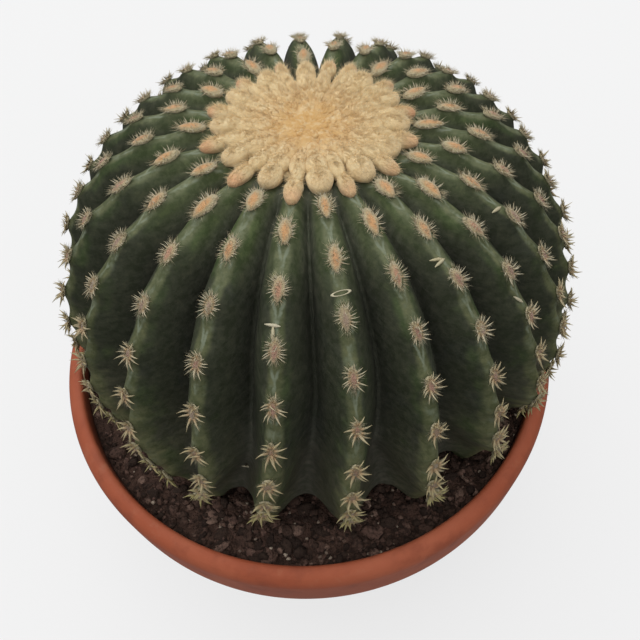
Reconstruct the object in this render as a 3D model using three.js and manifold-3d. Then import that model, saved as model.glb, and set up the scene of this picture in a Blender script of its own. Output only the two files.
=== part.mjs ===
// Round ribbed cactus in a shallow clay bowl: bowl, soil, plant with spines, and wool crown.
// Millimetres, +Z up. The origin is the centre of the bowl's foot, on the surface it stands on.

import * as THREE from "three";
import { mergeVertices } from "three/addons/utils/BufferGeometryUtils.js";
import Module from "manifold-3d";

const wasm = await Module();
wasm.setup();

// Bowl
const rimRadius = 125;
const rimInnerRadius = 116;
const potHeight = 120;
const lipHeight = 8.5;
const collarHeight = 36;
const collarStep = 5;
const wallThickness = 7;
const footRadius = 80;
const floorThickness = 9;
const drainRadius = 9;
const potSegments = 48;

// Soil
const soilDepthBelowRim = 10;
const soilLump = 1.6;
const soilLumpsFrom = { inner: 104, outer: 111 }; // distance from the plant at which lumps begin
const neckRadius = 82;
const neckDepth = 42;
const clearance = 0.3;

// Plant
const ribCount = 25;
const ribStart = -109; // degrees, 0 is +X
const ribCrowding = [
  { swing: 5.8, phase: 34.5 },
  { swing: 1.8, phase: 60 },
];
const footBends = { 24: 1.4, 0: -2.4, 1: -2, 2: -0.5, 3: 1.4, 4: 2.7 }; // degrees, for single ribs
const bendStart = 80;
const bendEnd = 150;
// The feet of the front ribs spread apart down to the soil, by these degrees there.
const footSplays = { 23: 3.5, 24: -7.5, 0: -3.7, 1: 1.1, 2: 5.9, 3: 9.2, 4: 9.2, 5: 7.5, 6: 5, 7: 2.5 };
const splayStart = 128;
const splayEnd = 184;
const parityBreak = 13; // the rib from which the half-step between neighbours starts anew
const plantOffset = { x: 7.5, y: 5 };
const plantLean = { x: -0.089, y: 0.025 }; // radians about X and Y
const crownTwist = -0.029; // radians at one radian above the globe's centre
const globeCentreHeight = 75; // above the rim
const valleyShare = 0.75; // depth of a valley as a share of the width of a rib
const valleyFillNearSoil = 0.55;
const ribRoundness = 2.4; // at the top, where 2 is a parabola across the rib
const hollowRoundness = 1.7; // near the soil, where 2 is a parabola across the hollow between ribs
const ridgeStart = 40; // down the crest the round ribs turn into ridges from here
const ridgeEnd = 140;
const crestShare = 0.18; // flat middle of a rib, as a share of its half width
const rimGap = 1;
const crownRowStart = 2;
const areoleStep = 20;
const footAreoleStep = 15;
const footRows = 7;
const crestRows = 19;
const padHeight = 1.8;
const spineLength = 7;
const shortestSpine = 3;
const spineWidth = 1.3;
const spineRoot = 1.6;

// Wool crown
const woolRadius = 33;
const woolLongLobe = 8;
const woolShortLobe = 3;
const woolRise = 2.6;
const woolDip = 6;
const dishDepth = 11;
const woolColumnsPerRib = 4;
const tuftRings = [
  { radius: 29.5, count: ribCount, size: 4.6, height: 2.6 },
  { radius: 20.5, count: 18, size: 4.4, height: 2.2 },
  { radius: 13, count: 11, size: 4, height: 1.6 },
  { radius: 6.5, count: 6, size: 3.4, height: 1 },
];

// The crest of a rib, as radius and height above the rim, from the wool down into the soil.
const crestOutline = new THREE.SplineCurve([
  new THREE.Vector2(woolRadius, 124.5),
  new THREE.Vector2(45, 126),
  new THREE.Vector2(58, 123.7),
  new THREE.Vector2(73.3, 117.3),
  new THREE.Vector2(87.4, 106.8),
  new THREE.Vector2(98.9, 92.4),
  new THREE.Vector2(107, 75),
  new THREE.Vector2(112.2, 55),
  new THREE.Vector2(113.8, 37),
  new THREE.Vector2(111.5, 18),
  new THREE.Vector2(106.3, 0),
  new THREE.Vector2(101, -17),
  new THREE.Vector2(95, -30),
]);

const colours = {
  clay: new THREE.Color(0x9a5238),
  soil: new THREE.Color(0x35261f),
  skin: new THREE.Color(0x3d4a30),
  wool: new THREE.Color(0xd7bc8a),
};

// Random numbers that come out the same each time.
function seededRandom(seed) {
  let state = seed;
  return () => {
    state = (state * 1664525 + 1013904223) % 4294967296;
    return state / 4294967296;
  };
}

// A closed mesh as a solid that can be joined and cut.
function solidOf(geometry) {
  const bare = new THREE.BufferGeometry();
  bare.setAttribute("position", geometry.getAttribute("position"));
  bare.setIndex(geometry.getIndex());
  const merged = mergeVertices(bare, 1e-4);
  return new wasm.Manifold(
    new wasm.Mesh({
      numProp: 3,
      vertProperties: new Float32Array(merged.getAttribute("position").array),
      triVerts: new Uint32Array(merged.getIndex().array),
    }),
  );
}

function geometryOf(solid) {
  const mesh = solid.getMesh();
  const geometry = new THREE.BufferGeometry();
  geometry.setAttribute("position", new THREE.BufferAttribute(mesh.vertProperties, 3));
  geometry.setIndex(new THREE.BufferAttribute(mesh.triVerts, 1));
  geometry.computeVertexNormals();
  return geometry;
}

// A solid of revolution about Z from points of radius and height, counter-clockwise in that plane.
function turned(points, segments) {
  const geometry = new THREE.LatheGeometry(points, segments);
  geometry.rotateX(Math.PI / 2);
  return geometry;
}

// A closed skin of rings of points, from the lowest ring to the highest, with a pole at each end.
function ringSkin(rings, lowPole, highPole) {
  const columns = rings[0].length;
  const points = [...rings.flat(), lowPole, highPole];
  const index = [];
  for (let row = 0; row + 1 < rings.length; row++) {
    for (let column = 0; column < columns; column++) {
      const a = row * columns + column;
      const b = row * columns + ((column + 1) % columns);
      index.push(a, b, b + columns, a, b + columns, a + columns);
    }
  }
  const low = rings.length * columns;
  const last = (rings.length - 1) * columns;
  for (let column = 0; column < columns; column++) {
    const next = (column + 1) % columns;
    index.push(low, next, column);
    index.push(low + 1, last + column, last + next);
  }
  const geometry = new THREE.BufferGeometry().setFromPoints(points);
  geometry.setIndex(index);
  return geometry;
}

// The inside of the bowl from its floor up to the rim; gap keeps the soil clear of the clay.
function innerWall(gap) {
  const collarFoot = potHeight - collarHeight;
  return [
    new THREE.Vector2(footRadius - wallThickness - 4 - gap, floorThickness + gap),
    new THREE.Vector2(footRadius - wallThickness + 2 - gap, floorThickness + 3 + gap),
    new THREE.Vector2(98 - gap, 42),
    new THREE.Vector2(rimInnerRadius - 5 - gap, collarFoot - 8),
    new THREE.Vector2(rimInnerRadius - 1 - gap, collarFoot + 8),
  ];
}

function pot() {
  const collarFoot = potHeight - collarHeight;
  const outline = [
    new THREE.Vector2(drainRadius, 0),
    new THREE.Vector2(footRadius - 2, 0),
    new THREE.Vector2(footRadius, 2),
    new THREE.Vector2(footRadius + 14, 25),
    new THREE.Vector2(rimRadius - collarStep - 9, collarFoot - 22),
    new THREE.Vector2(rimRadius - collarStep - 1, collarFoot),
    new THREE.Vector2(rimRadius - 1.5, collarFoot + 1),
    new THREE.Vector2(rimRadius - 0.5, collarFoot + 3),
  ];
  const lipSteps = 5;
  const lipWidth = 7;
  for (let step = 0; step <= lipSteps; step++) {
    const angle = (step / lipSteps) * (Math.PI / 2);
    const radius = rimRadius - lipWidth * (1 - Math.cos(angle));
    outline.push(new THREE.Vector2(radius, potHeight - lipHeight * (1 - Math.sin(angle))));
  }
  outline.push(new THREE.Vector2(rimInnerRadius, potHeight - 2));
  outline.push(...innerWall(0).reverse());
  outline.push(new THREE.Vector2(drainRadius, floorThickness));
  outline.push(outline[0].clone());
  return turned(outline, potSegments);
}

// The plant's plain neck below the ribs, which stands in an equally plain hole in the soil.
function neck(gap, top) {
  const soilTop = potHeight - soilDepthBelowRim;
  const radius = neckRadius + gap;
  const bottom = soilTop - neckDepth - gap;
  return turned(
    [
      new THREE.Vector2(0, bottom),
      new THREE.Vector2(radius * 0.5, bottom + 4),
      new THREE.Vector2(radius * 0.85, bottom + 16),
      new THREE.Vector2(radius, bottom + 34),
      new THREE.Vector2(radius, top),
      new THREE.Vector2(0, top),
    ],
    40,
  ).translate(plantOffset.x, plantOffset.y, 0);
}

function lumpAt(x, y) {
  const coarse = Math.sin(x * 0.31 + 1.3 * Math.sin(y * 0.23));
  const fine = Math.sin(y * 0.43 + 1.7 * Math.sin(x * 0.37));
  return soilLump * (0.6 * coarse + 0.6 * fine);
}

function soil() {
  const soilTop = potHeight - soilDepthBelowRim;
  const outline = [new THREE.Vector2(0, floorThickness + clearance), ...innerWall(clearance)];
  outline.push(new THREE.Vector2(rimInnerRadius - 0.8 - clearance, soilTop));
  const innerEdge = 60;
  const topRings = 6;
  for (let ring = 1; ring <= topRings; ring++) {
    const radius = THREE.MathUtils.lerp(rimInnerRadius - 1, innerEdge, ring / topRings);
    outline.push(new THREE.Vector2(radius, soilTop));
  }
  outline.push(new THREE.Vector2(0, soilTop));
  const filled = turned(outline, potSegments);
  const position = filled.getAttribute("position");
  for (let i = 0; i < position.count; i++) {
    const x = position.getX(i);
    const y = position.getY(i);
    const fromPlant = Math.hypot(x - plantOffset.x, y - plantOffset.y);
    const beyondRibs = THREE.MathUtils.smoothstep(
      fromPlant,
      soilLumpsFrom.inner,
      soilLumpsFrom.outer,
    );
    if (position.getZ(i) > soilTop - 0.01) {
      position.setZ(i, soilTop - 1 + beyondRibs * (1 + lumpAt(x, y)));
    }
  }
  return geometryOf(solidOf(filled).subtract(solidOf(neck(clearance + 0.05, potHeight))));
}

function ribAngle(rib) {
  const turn = (360 / ribCount) * rib;
  let angle = ribStart + turn;
  ribCrowding.forEach(({ swing, phase }, order) => {
    angle += swing * Math.cos(THREE.MathUtils.degToRad((order + 1) * turn - phase));
  });
  return THREE.MathUtils.degToRad(angle);
}

// Rows of points down the crest: half an areole step apart, and closer near the soil.
function crestRowLengths() {
  const lengths = [0];
  let length = crownRowStart;
  for (let row = 1; row <= crestRows; row++) {
    length += (row > crestRows - footRows ? footAreoleStep : areoleStep) / 2;
    lengths.push(length);
  }
  return lengths;
}

// Crest point, outward normal and downward direction in the plane of a rib at a length down it.
function crestAt(length) {
  const u = THREE.MathUtils.clamp(length / crestOutline.getLength(), 0, 1);
  const point = crestOutline.getPointAt(u);
  const down = crestOutline.getTangentAt(u);
  return { radius: point.x, height: point.y, down, normal: new THREE.Vector2(-down.y, down.x) };
}

function valleyDepth(ribWidth, height, length) {
  const nearSoil = THREE.MathUtils.smoothstep(-height, -30, 22);
  const nearWool = THREE.MathUtils.smoothstep(length, 0, 8);
  return valleyShare * ribWidth * nearWool * (1 - valleyFillNearSoil * nearSoil);
}

// How far the skin has fallen at a share of the way from crest to valley: the ribs are round with
// a crease between them at the top, and near the soil they are ridges with a hollow between them.
function ribFall(away, length) {
  const pastCrest = Math.max(0, away - crestShare) / (1 - crestShare);
  const round = away ** ribRoundness;
  const ridged = 1 - (1 - pastCrest) ** hollowRoundness;
  return THREE.MathUtils.lerp(round, ridged, THREE.MathUtils.smoothstep(length, ridgeStart, ridgeEnd));
}

// The angle of a rib's crest at a length down it: ribs twist at the crown, and some bend at the foot.
function crestAngle(rib, length) {
  const crest = crestAt(length);
  const polar = Math.atan2(crest.height - globeCentreHeight, crest.radius);
  const number = (rib + ribCount) % ribCount;
  const bend = (footBends[number] ?? 0) * THREE.MathUtils.smoothstep(length, bendStart, bendEnd);
  const splay = (footSplays[number] ?? 0) * THREE.MathUtils.smoothstep(length, splayStart, splayEnd);
  return ribAngle(rib) + crownTwist * polar * polar + THREE.MathUtils.degToRad(bend + splay);
}

function hasAreole(rib, row) {
  const parity = rib < parityBreak ? rib % 2 : (rib + 1) % 2;
  return row % 2 === parity && row >= 1;
}

// Where across a rib its columns lie: -1 and 1 are the valleys, 0 is the middle of the crest.
const ribColumns = [-1, -0.55, -crestShare, crestShare, 0.55];
const leftFlank = 1;
const leftEdge = 2;
const rightEdge = 3;
const rightFlank = 4;

// The bowl's rim holds the ribs that press against it: below its top they stay inside it.
function heldByRim(point, plantToWorld, worldToPlant) {
  const world = point.clone().applyMatrix4(plantToWorld);
  const aboveRim = Math.max(0, world.z - potHeight - 3);
  const limit = rimInnerRadius - rimGap + aboveRim;
  const share = limit / Math.hypot(world.x, world.y);
  if (share >= 1) return point;
  world.set(world.x * share, world.y * share, world.z);
  return world.applyMatrix4(worldToPlant);
}

// The rings of the ribbed skin, from the wool down; each rib has its columns side by side.
function ribRings(plantToWorld, worldToPlant) {
  return crestRowLengths().map((length, row) => {
    const crest = crestAt(length);
    const ring = [];
    for (let rib = 0; rib < ribCount; rib++) {
      const middle = crestAngle(rib, length);
      const before = (middle + crestAngle(rib - 1, length)) / 2;
      const after = (middle + crestAngle(rib + 1, length)) / 2;
      for (const across of ribColumns) {
        const reach = across < 0 ? middle - before : after - middle;
        const depth = valleyDepth(2 * reach * crest.radius, crest.height, length);
        const away = Math.abs(across);
        const onCrest = away === crestShare && hasAreole(rib, row);
        const rise = (onCrest ? padHeight : 0) - depth * ribFall(away, length);
        const angle = middle + across * reach;
        const radius = crest.radius + crest.normal.x * rise;
        const height = crest.height + crest.normal.y * rise;
        const point = new THREE.Vector3(radius * Math.cos(angle), radius * Math.sin(angle), height);
        ring.push(heldByRim(point, plantToWorld, worldToPlant));
      }
    }
    return ring;
  });
}

function ribbedGlobe(rings) {
  const lowFirst = rings.slice().reverse();
  const foot = new THREE.Vector3(0, 0, lowFirst[0][0].z);
  const dish = new THREE.Vector3(0, 0, crestAt(0).height - dishDepth);
  return solidOf(ringSkin(lowFirst, foot, dish));
}

// A three-sided needle from a root point along a direction, sunk into what it grows from.
function needle(root, direction, length) {
  const base = root.clone().addScaledVector(direction, -spineRoot);
  const tip = root.clone().addScaledVector(direction, length);
  const side = new THREE.Vector3(0, 0, 1).cross(direction).normalize();
  const other = direction.clone().cross(side).normalize();
  const corners = [0, 1, 2].map((corner) => {
    const angle = (corner / 3) * 2 * Math.PI;
    return base
      .clone()
      .addScaledVector(side, Math.cos(angle) * (spineWidth / 2))
      .addScaledVector(other, Math.sin(angle) * (spineWidth / 2));
  });
  const geometry = new THREE.BufferGeometry().setFromPoints([...corners, tip]);
  geometry.setIndex([0, 2, 1, 0, 1, 3, 1, 2, 3, 2, 0, 3]);
  return geometry;
}

// The three spines kept of each areole's fan: the way each points, as shares of outward, downward
// and sideways, and where it is rooted, as shares of three corners given as row step and column.
const spineFan = [
  {
    way: [0.72, 0.7, 0],
    length: 1,
    root: [[0, leftEdge, 0.35], [0, rightEdge, 0.4], [1, leftEdge, 0.25]],
  },
  {
    way: [0.6, -0.1, 0.8],
    length: 0.85,
    root: [[0, rightEdge, 0.55], [1, rightEdge, 0.2], [0, rightFlank, 0.25]],
  },
  {
    way: [0.6, -0.1, -0.8],
    length: 0.85,
    root: [[0, leftEdge, 0.55], [-1, leftEdge, 0.2], [0, leftFlank, 0.25]],
  },
];

// A spine is clear when it stays off the soil and inside or above the bowl's rim.
function isClear(start, direction, length, plantToWorld) {
  const soilReach = potHeight - soilDepthBelowRim + soilLump + 1.5;
  return [0.5, 1].every((share) => {
    const world = start.clone().addScaledVector(direction, share * length);
    world.applyMatrix4(plantToWorld);
    const inside = Math.hypot(world.x, world.y) < rimInnerRadius - 1.5;
    return world.z > soilReach && (inside || world.z > potHeight + 1.5);
  });
}

// Outward, downward and sideways at the middle of a rib, at a length down its crest.
function directionsAt(rib, length) {
  const crest = crestAt(length);
  const angle = crestAngle(rib, length);
  const out = new THREE.Vector3(Math.cos(angle), Math.sin(angle), 0);
  const inPlane = (flat) => out.clone().multiplyScalar(flat.x).setZ(flat.y);
  const sideways = new THREE.Vector3(-Math.sin(angle), Math.cos(angle), 0);
  return [inPlane(crest.normal), inPlane(crest.down), sideways];
}

function spines(rings, plantToWorld) {
  const random = seededRandom(7);
  const lengths = crestRowLengths();
  const needles = [];
  for (let rib = 0; rib < ribCount; rib++) {
    for (let row = 1; row < lengths.length - 1; row++) {
      if (!hasAreole(rib, row)) continue;
      const axes = directionsAt(rib, lengths[row]);
      for (const { way, length, root } of spineFan) {
        const start = new THREE.Vector3();
        for (const [step, column, share] of root) {
          start.addScaledVector(rings[row + step][rib * ribColumns.length + column], share);
        }
        const direction = new THREE.Vector3();
        axes.forEach((axis, i) => direction.addScaledVector(axis, way[i] + 0.15 * (random() - 0.5)));
        direction.normalize();
        let reach = spineLength * length * (0.9 + 0.2 * random());
        while (reach > shortestSpine && !isClear(start, direction, reach, plantToWorld)) reach -= 1;
        if (reach > shortestSpine) needles.push(solidOf(needle(start, direction, reach)));
      }
    }
  }
  return needles;
}

// The plant's own frame: the middle of the globe at the height of the rim.
function plantGroup() {
  const group = new THREE.Group();
  group.position.set(plantOffset.x, plantOffset.y, potHeight);
  group.rotation.set(plantLean.x, plantLean.y, 0);
  group.updateMatrixWorld(true);
  return group;
}

function cactusBody(plantToWorld) {
  const worldToPlant = plantToWorld.clone().invert();
  const soilTop = potHeight - soilDepthBelowRim;
  const below = new THREE.CylinderGeometry(160, 160, 60, 24).rotateX(Math.PI / 2);
  below.translate(0, 0, soilTop + clearance - 30);
  below.applyMatrix4(worldToPlant);
  const rings = ribRings(plantToWorld, worldToPlant);
  const trimmed = ribbedGlobe(rings).subtract(solidOf(below));
  const stump = neck(0, soilTop + 6).applyMatrix4(worldToPlant);
  const grown = [trimmed, solidOf(stump), ...spines(rings, plantToWorld)];
  return geometryOf(wasm.Manifold.union(grown));
}

// How far the wool reaches out at a fraction of the way round, counted in ribs: a long lobe over
// every rib that has no pad of its own beside the wool, a short one over the others.
function woolEdge(rib) {
  const nearest = Math.round(rib) % ribCount;
  const lobe = hasAreole(nearest, 1) ? woolShortLobe : woolLongLobe;
  return woolRadius + lobe * Math.cos(Math.PI * (rib - Math.round(rib)));
}

// Height of the tufts above the mat at a point: each is a small dome, and the domes stand in rings.
function tuftRise(x, y) {
  let rise = 0;
  for (const { radius, count, size, height } of tuftRings) {
    for (let tuft = 0; tuft < count; tuft++) {
      const angle = count === ribCount ? ribAngle(tuft) : (2 * Math.PI * (tuft + 0.5)) / count;
      const away = Math.hypot(x - radius * Math.cos(angle), y - radius * Math.sin(angle));
      rise = Math.max(rise, height * (1 - (away / size) ** 2));
    }
  }
  return rise;
}

// The wool mat: it fills the dish at the top, sinks towards its middle and laps over the rib tops.
function woolCrown() {
  const edgeHeight = crestAt(0).height;
  const slope = dishDepth / woolRadius;
  const seat = (radius) => edgeHeight - slope * (woolRadius - radius) + 1.5 * clearance;
  const matTop = (radius) => {
    const sunk = 1 - THREE.MathUtils.smoothstep(radius, 0, 0.8 * woolRadius);
    return edgeHeight + woolRise - woolDip * sunk;
  };
  const rings = [0.5, 0.95].map((share) => {
    const radius = share * woolRadius;
    return woolRing(() => ({ radius, height: seat(radius) }));
  });
  const lapRise = 0.32;
  const lapUnder = (edge) => edgeHeight + 0.6 + lapRise * (edge - woolRadius);
  rings.push(woolRing((edge) => ({ radius: edge - 1, height: lapUnder(edge) })));
  rings.push(woolRing((edge) => ({ radius: edge, height: lapUnder(edge) + 1.5 })));
  rings.push(woolRing((edge) => ({ radius: edge - 1.6, height: lapUnder(edge) + 3.3 })));
  const between = (outer, inner) => (outer + inner) / 2;
  tuftRings.forEach(({ radius }, i) => {
    const outer = i === 0 ? woolRadius + 3 : tuftRings[i - 1].radius;
    for (const at of [between(outer, radius), radius]) {
      rings.push(woolRing(() => ({ radius: at, height: matTop(at), tufted: true })));
    }
  });
  const lowPole = new THREE.Vector3(0, 0, seat(0));
  const highPole = new THREE.Vector3(0, 0, matTop(0));
  return ringSkin(rings, lowPole, highPole);
}

// One ring of the wool; its columns turn with the ribs.
function woolRing(place) {
  const ring = [];
  for (let column = 0; column < woolColumnsPerRib * ribCount; column++) {
    const rib = column / woolColumnsPerRib;
    const angle = ribAngle(rib);
    const { radius, height, tufted } = place(woolEdge(rib));
    const point = new THREE.Vector3(radius * Math.cos(angle), radius * Math.sin(angle), height);
    if (tufted) point.z += tuftRise(point.x, point.y);
    ring.push(point);
  }
  return ring;
}

function named(name, geometry, colour, roughness) {
  const material = new THREE.MeshStandardMaterial({ color: colour, roughness, metalness: 0 });
  const mesh = new THREE.Mesh(geometry, material);
  mesh.name = name;
  return mesh;
}

const plant = plantGroup();
plant.add(named("cactus_body", cactusBody(plant.matrixWorld), colours.skin, 0.5));
plant.add(named("wool_crown", woolCrown(), colours.wool, 0.95));

const pottedCactus = new THREE.Group();
pottedCactus.add(named("pot", pot(), colours.clay, 0.75));
pottedCactus.add(named("soil", soil(), colours.soil, 0.95));
pottedCactus.add(plant);

export default pottedCactus;
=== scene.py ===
# Potted round cactus: clay bowl, potting soil, ribbed plant with felt pads and spines, wool crown.
# Metres, +Z up. The bowl stands on the floor at the origin, and -Y faces the photograph.
import random
from math import atan2, cos, hypot, pi, radians, sin, sqrt, tau

import bpy
import numpy as np
from mathutils import Matrix, Vector, noise


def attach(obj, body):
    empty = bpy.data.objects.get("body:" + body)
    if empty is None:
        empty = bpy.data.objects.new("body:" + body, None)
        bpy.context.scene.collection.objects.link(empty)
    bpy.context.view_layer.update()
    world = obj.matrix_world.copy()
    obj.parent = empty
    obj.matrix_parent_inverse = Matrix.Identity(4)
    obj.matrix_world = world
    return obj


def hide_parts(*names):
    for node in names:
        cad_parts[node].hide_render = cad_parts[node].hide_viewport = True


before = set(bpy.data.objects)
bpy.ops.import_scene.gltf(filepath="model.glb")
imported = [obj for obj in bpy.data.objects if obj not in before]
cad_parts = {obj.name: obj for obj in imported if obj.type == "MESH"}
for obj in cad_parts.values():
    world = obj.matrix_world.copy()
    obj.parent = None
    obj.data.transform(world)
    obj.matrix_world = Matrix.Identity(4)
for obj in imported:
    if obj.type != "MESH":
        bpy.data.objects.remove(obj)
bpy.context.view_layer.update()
print("frame loaded with", len(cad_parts), "nodes")


# small helpers


def deselectAll():
    if bpy.context.object and bpy.context.object.mode != "OBJECT":
        bpy.ops.object.mode_set(mode="OBJECT")
    bpy.ops.object.select_all(action="DESELECT")


def smoothStep(value, low, high):
    share = min(1.0, max(0.0, (value - low) / (high - low)))
    return share * share * (3 - 2 * share)


def mixed(a, b, share):
    return a + (b - a) * share


def shadeSmooth(piece):
    piece.data.polygons.foreach_set("use_smooth", [True] * len(piece.data.polygons))
    piece.data.update()


def pointsOf(piece):
    points = np.zeros(len(piece.data.vertices) * 3, dtype=np.float32)
    piece.data.vertices.foreach_get("co", points)
    return points.reshape(-1, 3)


def setPoints(piece, points):
    piece.data.vertices.foreach_set("co", np.asarray(points, dtype=np.float32).ravel())
    piece.data.update()


def addFloats(piece, name, values):
    layer = piece.data.attributes.new(name, "FLOAT", "POINT")
    layer.data.foreach_set("value", np.asarray(values, dtype=np.float32))


def addVectors(piece, name, values):
    layer = piece.data.attributes.new(name, "FLOAT_VECTOR", "POINT")
    layer.data.foreach_set("vector", np.asarray(values, dtype=np.float32).ravel())


# A ring of points is extruded from height to height and resized on the way.
def extrudedRings(name, segments, outline):
    deselectAll()
    radius, height = outline[0]
    bpy.ops.mesh.primitive_circle_add(vertices=segments, radius=radius, location=(0, 0, height))
    piece = bpy.context.object
    piece.name = name
    bpy.ops.object.transform_apply(location=True, rotation=False, scale=False)
    bpy.ops.object.mode_set(mode="EDIT")
    bpy.ops.mesh.select_all(action="SELECT")
    for nextRadius, nextHeight in outline[1:]:
        rise = (0, 0, nextHeight - height)
        bpy.ops.mesh.extrude_region_move(TRANSFORM_OT_translate={"value": rise})
        share = nextRadius / radius
        bpy.ops.transform.resize(value=(share, share, 1), center_override=(0, 0, nextHeight))
        radius, height = nextRadius, nextHeight
    bpy.ops.mesh.select_all(action="SELECT")
    bpy.ops.mesh.remove_doubles(threshold=1e-6)
    bpy.ops.mesh.normals_make_consistent(inside=False)
    bpy.ops.object.mode_set(mode="OBJECT")
    shadeSmooth(piece)
    return piece


# Modelled shapes are copied to many places, given as (number of the shape, matrix, share), and the
# copies are joined. Each point keeps its place on the shape in "own", and each copy has one random
# number in "tone" and its own share in "share".
def joinedCopies(name, shapes, places, draw):
    points, faces, own, tones, shares = [], [], [], [], []
    start = 0
    for shapeNumber, matrix, share in places:
        shape = shapes[shapeNumber]
        flat = pointsOf(shape)
        turn = np.array(matrix, dtype=np.float32)
        points.append(flat @ turn[:3, :3].T + turn[:3, 3])
        own.append(flat)
        tones.append(np.full(len(flat), draw.random(), dtype=np.float32))
        shares.append(np.full(len(flat), share, dtype=np.float32))
        faces.extend([start + corner for corner in face.vertices] for face in shape.data.polygons)
        start += len(flat)
    mesh = bpy.data.meshes.new(name)
    mesh.from_pydata(np.concatenate(points).tolist(), [], faces)
    piece = bpy.data.objects.new(name, mesh)
    bpy.context.scene.collection.objects.link(piece)
    addVectors(piece, "own", np.concatenate(own))
    addFloats(piece, "tone", np.concatenate(tones))
    addFloats(piece, "share", np.concatenate(shares))
    shadeSmooth(piece)
    return piece


def removeShapes(shapes):
    for shape in shapes:
        bpy.data.objects.remove(shape, do_unlink=True)


def makeActive(piece):
    deselectAll()
    piece.select_set(True)
    bpy.context.view_layer.objects.active = piece


def finishPiece(piece, material):
    piece.data.materials.clear()
    piece.data.materials.append(material)
    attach(piece, "root")


# camera

view = {
    "place": (0.0, -0.1879, 0.4357),
    "pitch": 58.23,  # degrees below the horizon
    "yaw": 2.39,
    "roll": -4.75,
    "lens": 39.75,  # mm, on a sensor that is 36 mm wide
    "sensor": 36,
}


def addCamera():
    lens = bpy.data.cameras.new("camera")
    lens.lens = view["lens"]
    lens.sensor_width = view["sensor"]
    lens.clip_start = 0.01
    eye = bpy.data.objects.new("camera", lens)
    bpy.context.scene.collection.objects.link(eye)
    turn = Matrix.Rotation(-radians(view["yaw"]), 4, "Z")
    turn = turn @ Matrix.Rotation(pi / 2 - radians(view["pitch"]), 4, "X")
    turn = turn @ Matrix.Rotation(radians(view["roll"]), 4, "Z")
    eye.matrix_world = Matrix.Translation(view["place"]) @ turn
    bpy.context.scene.camera = eye


addCamera()
print("camera placed")


# materials: node helpers and shared groups first

shaderSockets = {
    "colour": "Base Color",
    "rough": "Roughness",
    "glow": "Emission Color",
    "glowStrength": "Emission Strength",
    "specular": "Specular IOR Level",
    "sheen": "Sheen Weight",
    "normal": "Normal",
}


def newMaterial(name):
    material = bpy.data.materials.new(name)
    material.use_nodes = True
    tree = material.node_tree
    tree.nodes.clear()
    output = tree.nodes.new("ShaderNodeOutputMaterial")
    shader = tree.nodes.new("ShaderNodeBsdfPrincipled")
    tree.links.new(shader.outputs["BSDF"], output.inputs["Surface"])
    return material, tree, shader


# A socket knows the tree that it is in, so the helpers below need no tree of their own.
def newNode(kind, *values):
    tree = next(value.id_data for value in values if isinstance(value, bpy.types.NodeSocket))
    return tree.nodes.new(kind)


def plug(value, socket):
    if isinstance(value, bpy.types.NodeSocket):
        socket.id_data.links.new(value, socket)
    elif isinstance(value, tuple) and socket.type == "RGBA":
        socket.default_value = (*value, 1)
    else:
        socket.default_value = value


def plugAll(node, values):
    for name, value in values.items():
        plug(value, node.inputs[name])


def setShader(shader, **values):
    plugAll(shader, {shaderSockets[name]: value for name, value in values.items()})


def mathNode(operation, first, *others):
    for other in others:
        node = newNode("ShaderNodeMath", first, other)
        node.operation = operation
        plug(first, node.inputs[0])
        plug(other, node.inputs[1])
        first = node.outputs[0]
    return first


def times(*values):
    return mathNode("MULTIPLY", *values)


def plus(*values):
    return mathNode("ADD", *values)


def minus(a, b):
    return mathNode("SUBTRACT", a, b)


# a noise from 0 to 1, moved to swing about 0
def centred(value, width):
    return times(minus(value, 0.5), width)


def distance(x, y):
    return mathNode("POWER", plus(times(x, x), times(y, y)), 0.5)


# 0 below low, 1 above high, smooth between; low above high turns it round
def band(value, low, high):
    node = newNode("ShaderNodeMapRange", value)
    node.interpolation_type = "SMOOTHSTEP"
    node.clamp = True
    plugAll(node, {
        "Value": value,
        "From Min": min(low, high),
        "From Max": max(low, high),
        "To Min": int(low > high),
        "To Max": int(low < high),
    })
    return node.outputs["Result"]


def colourMix(share, a, b, blend="MIX"):
    node = newNode("ShaderNodeMix", share, a, b)
    node.data_type = "RGBA"
    node.blend_type = blend
    plugAll(node, {"Factor": share, "A": a, "B": b})
    return node.outputs["Result"]


# A layer shows where its mask is 1, as strongly as its own share says.
def layer(under, mask, look, name, blend="MIX"):
    share = times(mask, look[name + "Share"])
    return colourMix(share, under, look[name], blend)


def noiseAt(place, scale, detail=3.0, roughness=0.55):
    node = newNode("ShaderNodeTexNoise", place)
    plugAll(node, {"Vector": place, "Scale": scale, "Detail": detail, "Roughness": roughness})
    return node.outputs["Fac"]


def stretched(place, scale, move=(0, 0, 0)):
    node = newNode("ShaderNodeMapping", place)
    plugAll(node, {"Vector": place, "Location": move, "Scale": scale})
    return node.outputs["Vector"]


def objectPlace(tree):
    return tree.nodes.new("ShaderNodeTexCoord").outputs["Object"]


def xyz(vector):
    node = newNode("ShaderNodeSeparateXYZ", vector)
    plug(vector, node.inputs[0])
    return tuple(node.outputs)


def attribute(tree, name, output="Fac"):
    node = tree.nodes.new("ShaderNodeAttribute")
    node.attribute_name = name
    return node.outputs[output]


def bump(height, strength, depth, under=None):
    node = newNode("ShaderNodeBump", height)
    plugAll(node, {"Height": height, "Strength": strength, "Distance": depth})
    if under is not None:
        plug(under, node.inputs["Normal"])
    return node.outputs["Normal"]


def newGroup(name, inputs, output):
    group = bpy.data.node_groups.new(name, "ShaderNodeTree")
    for label in inputs:
        kind = "NodeSocketVector" if label == "Place" else "NodeSocketFloat"
        group.interface.new_socket(name=label, in_out="INPUT", socket_type=kind)
    group.interface.new_socket(name=output, in_out="OUTPUT", socket_type="NodeSocketFloat")
    start = group.nodes.new("NodeGroupInput")
    end = group.nodes.new("NodeGroupOutput")
    return group, start.outputs, end.inputs[output]


def useGroup(tree, group, **values):
    node = tree.nodes.new("ShaderNodeGroup")
    node.node_tree = group
    plugAll(node, values)
    return node.outputs[0]


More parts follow.
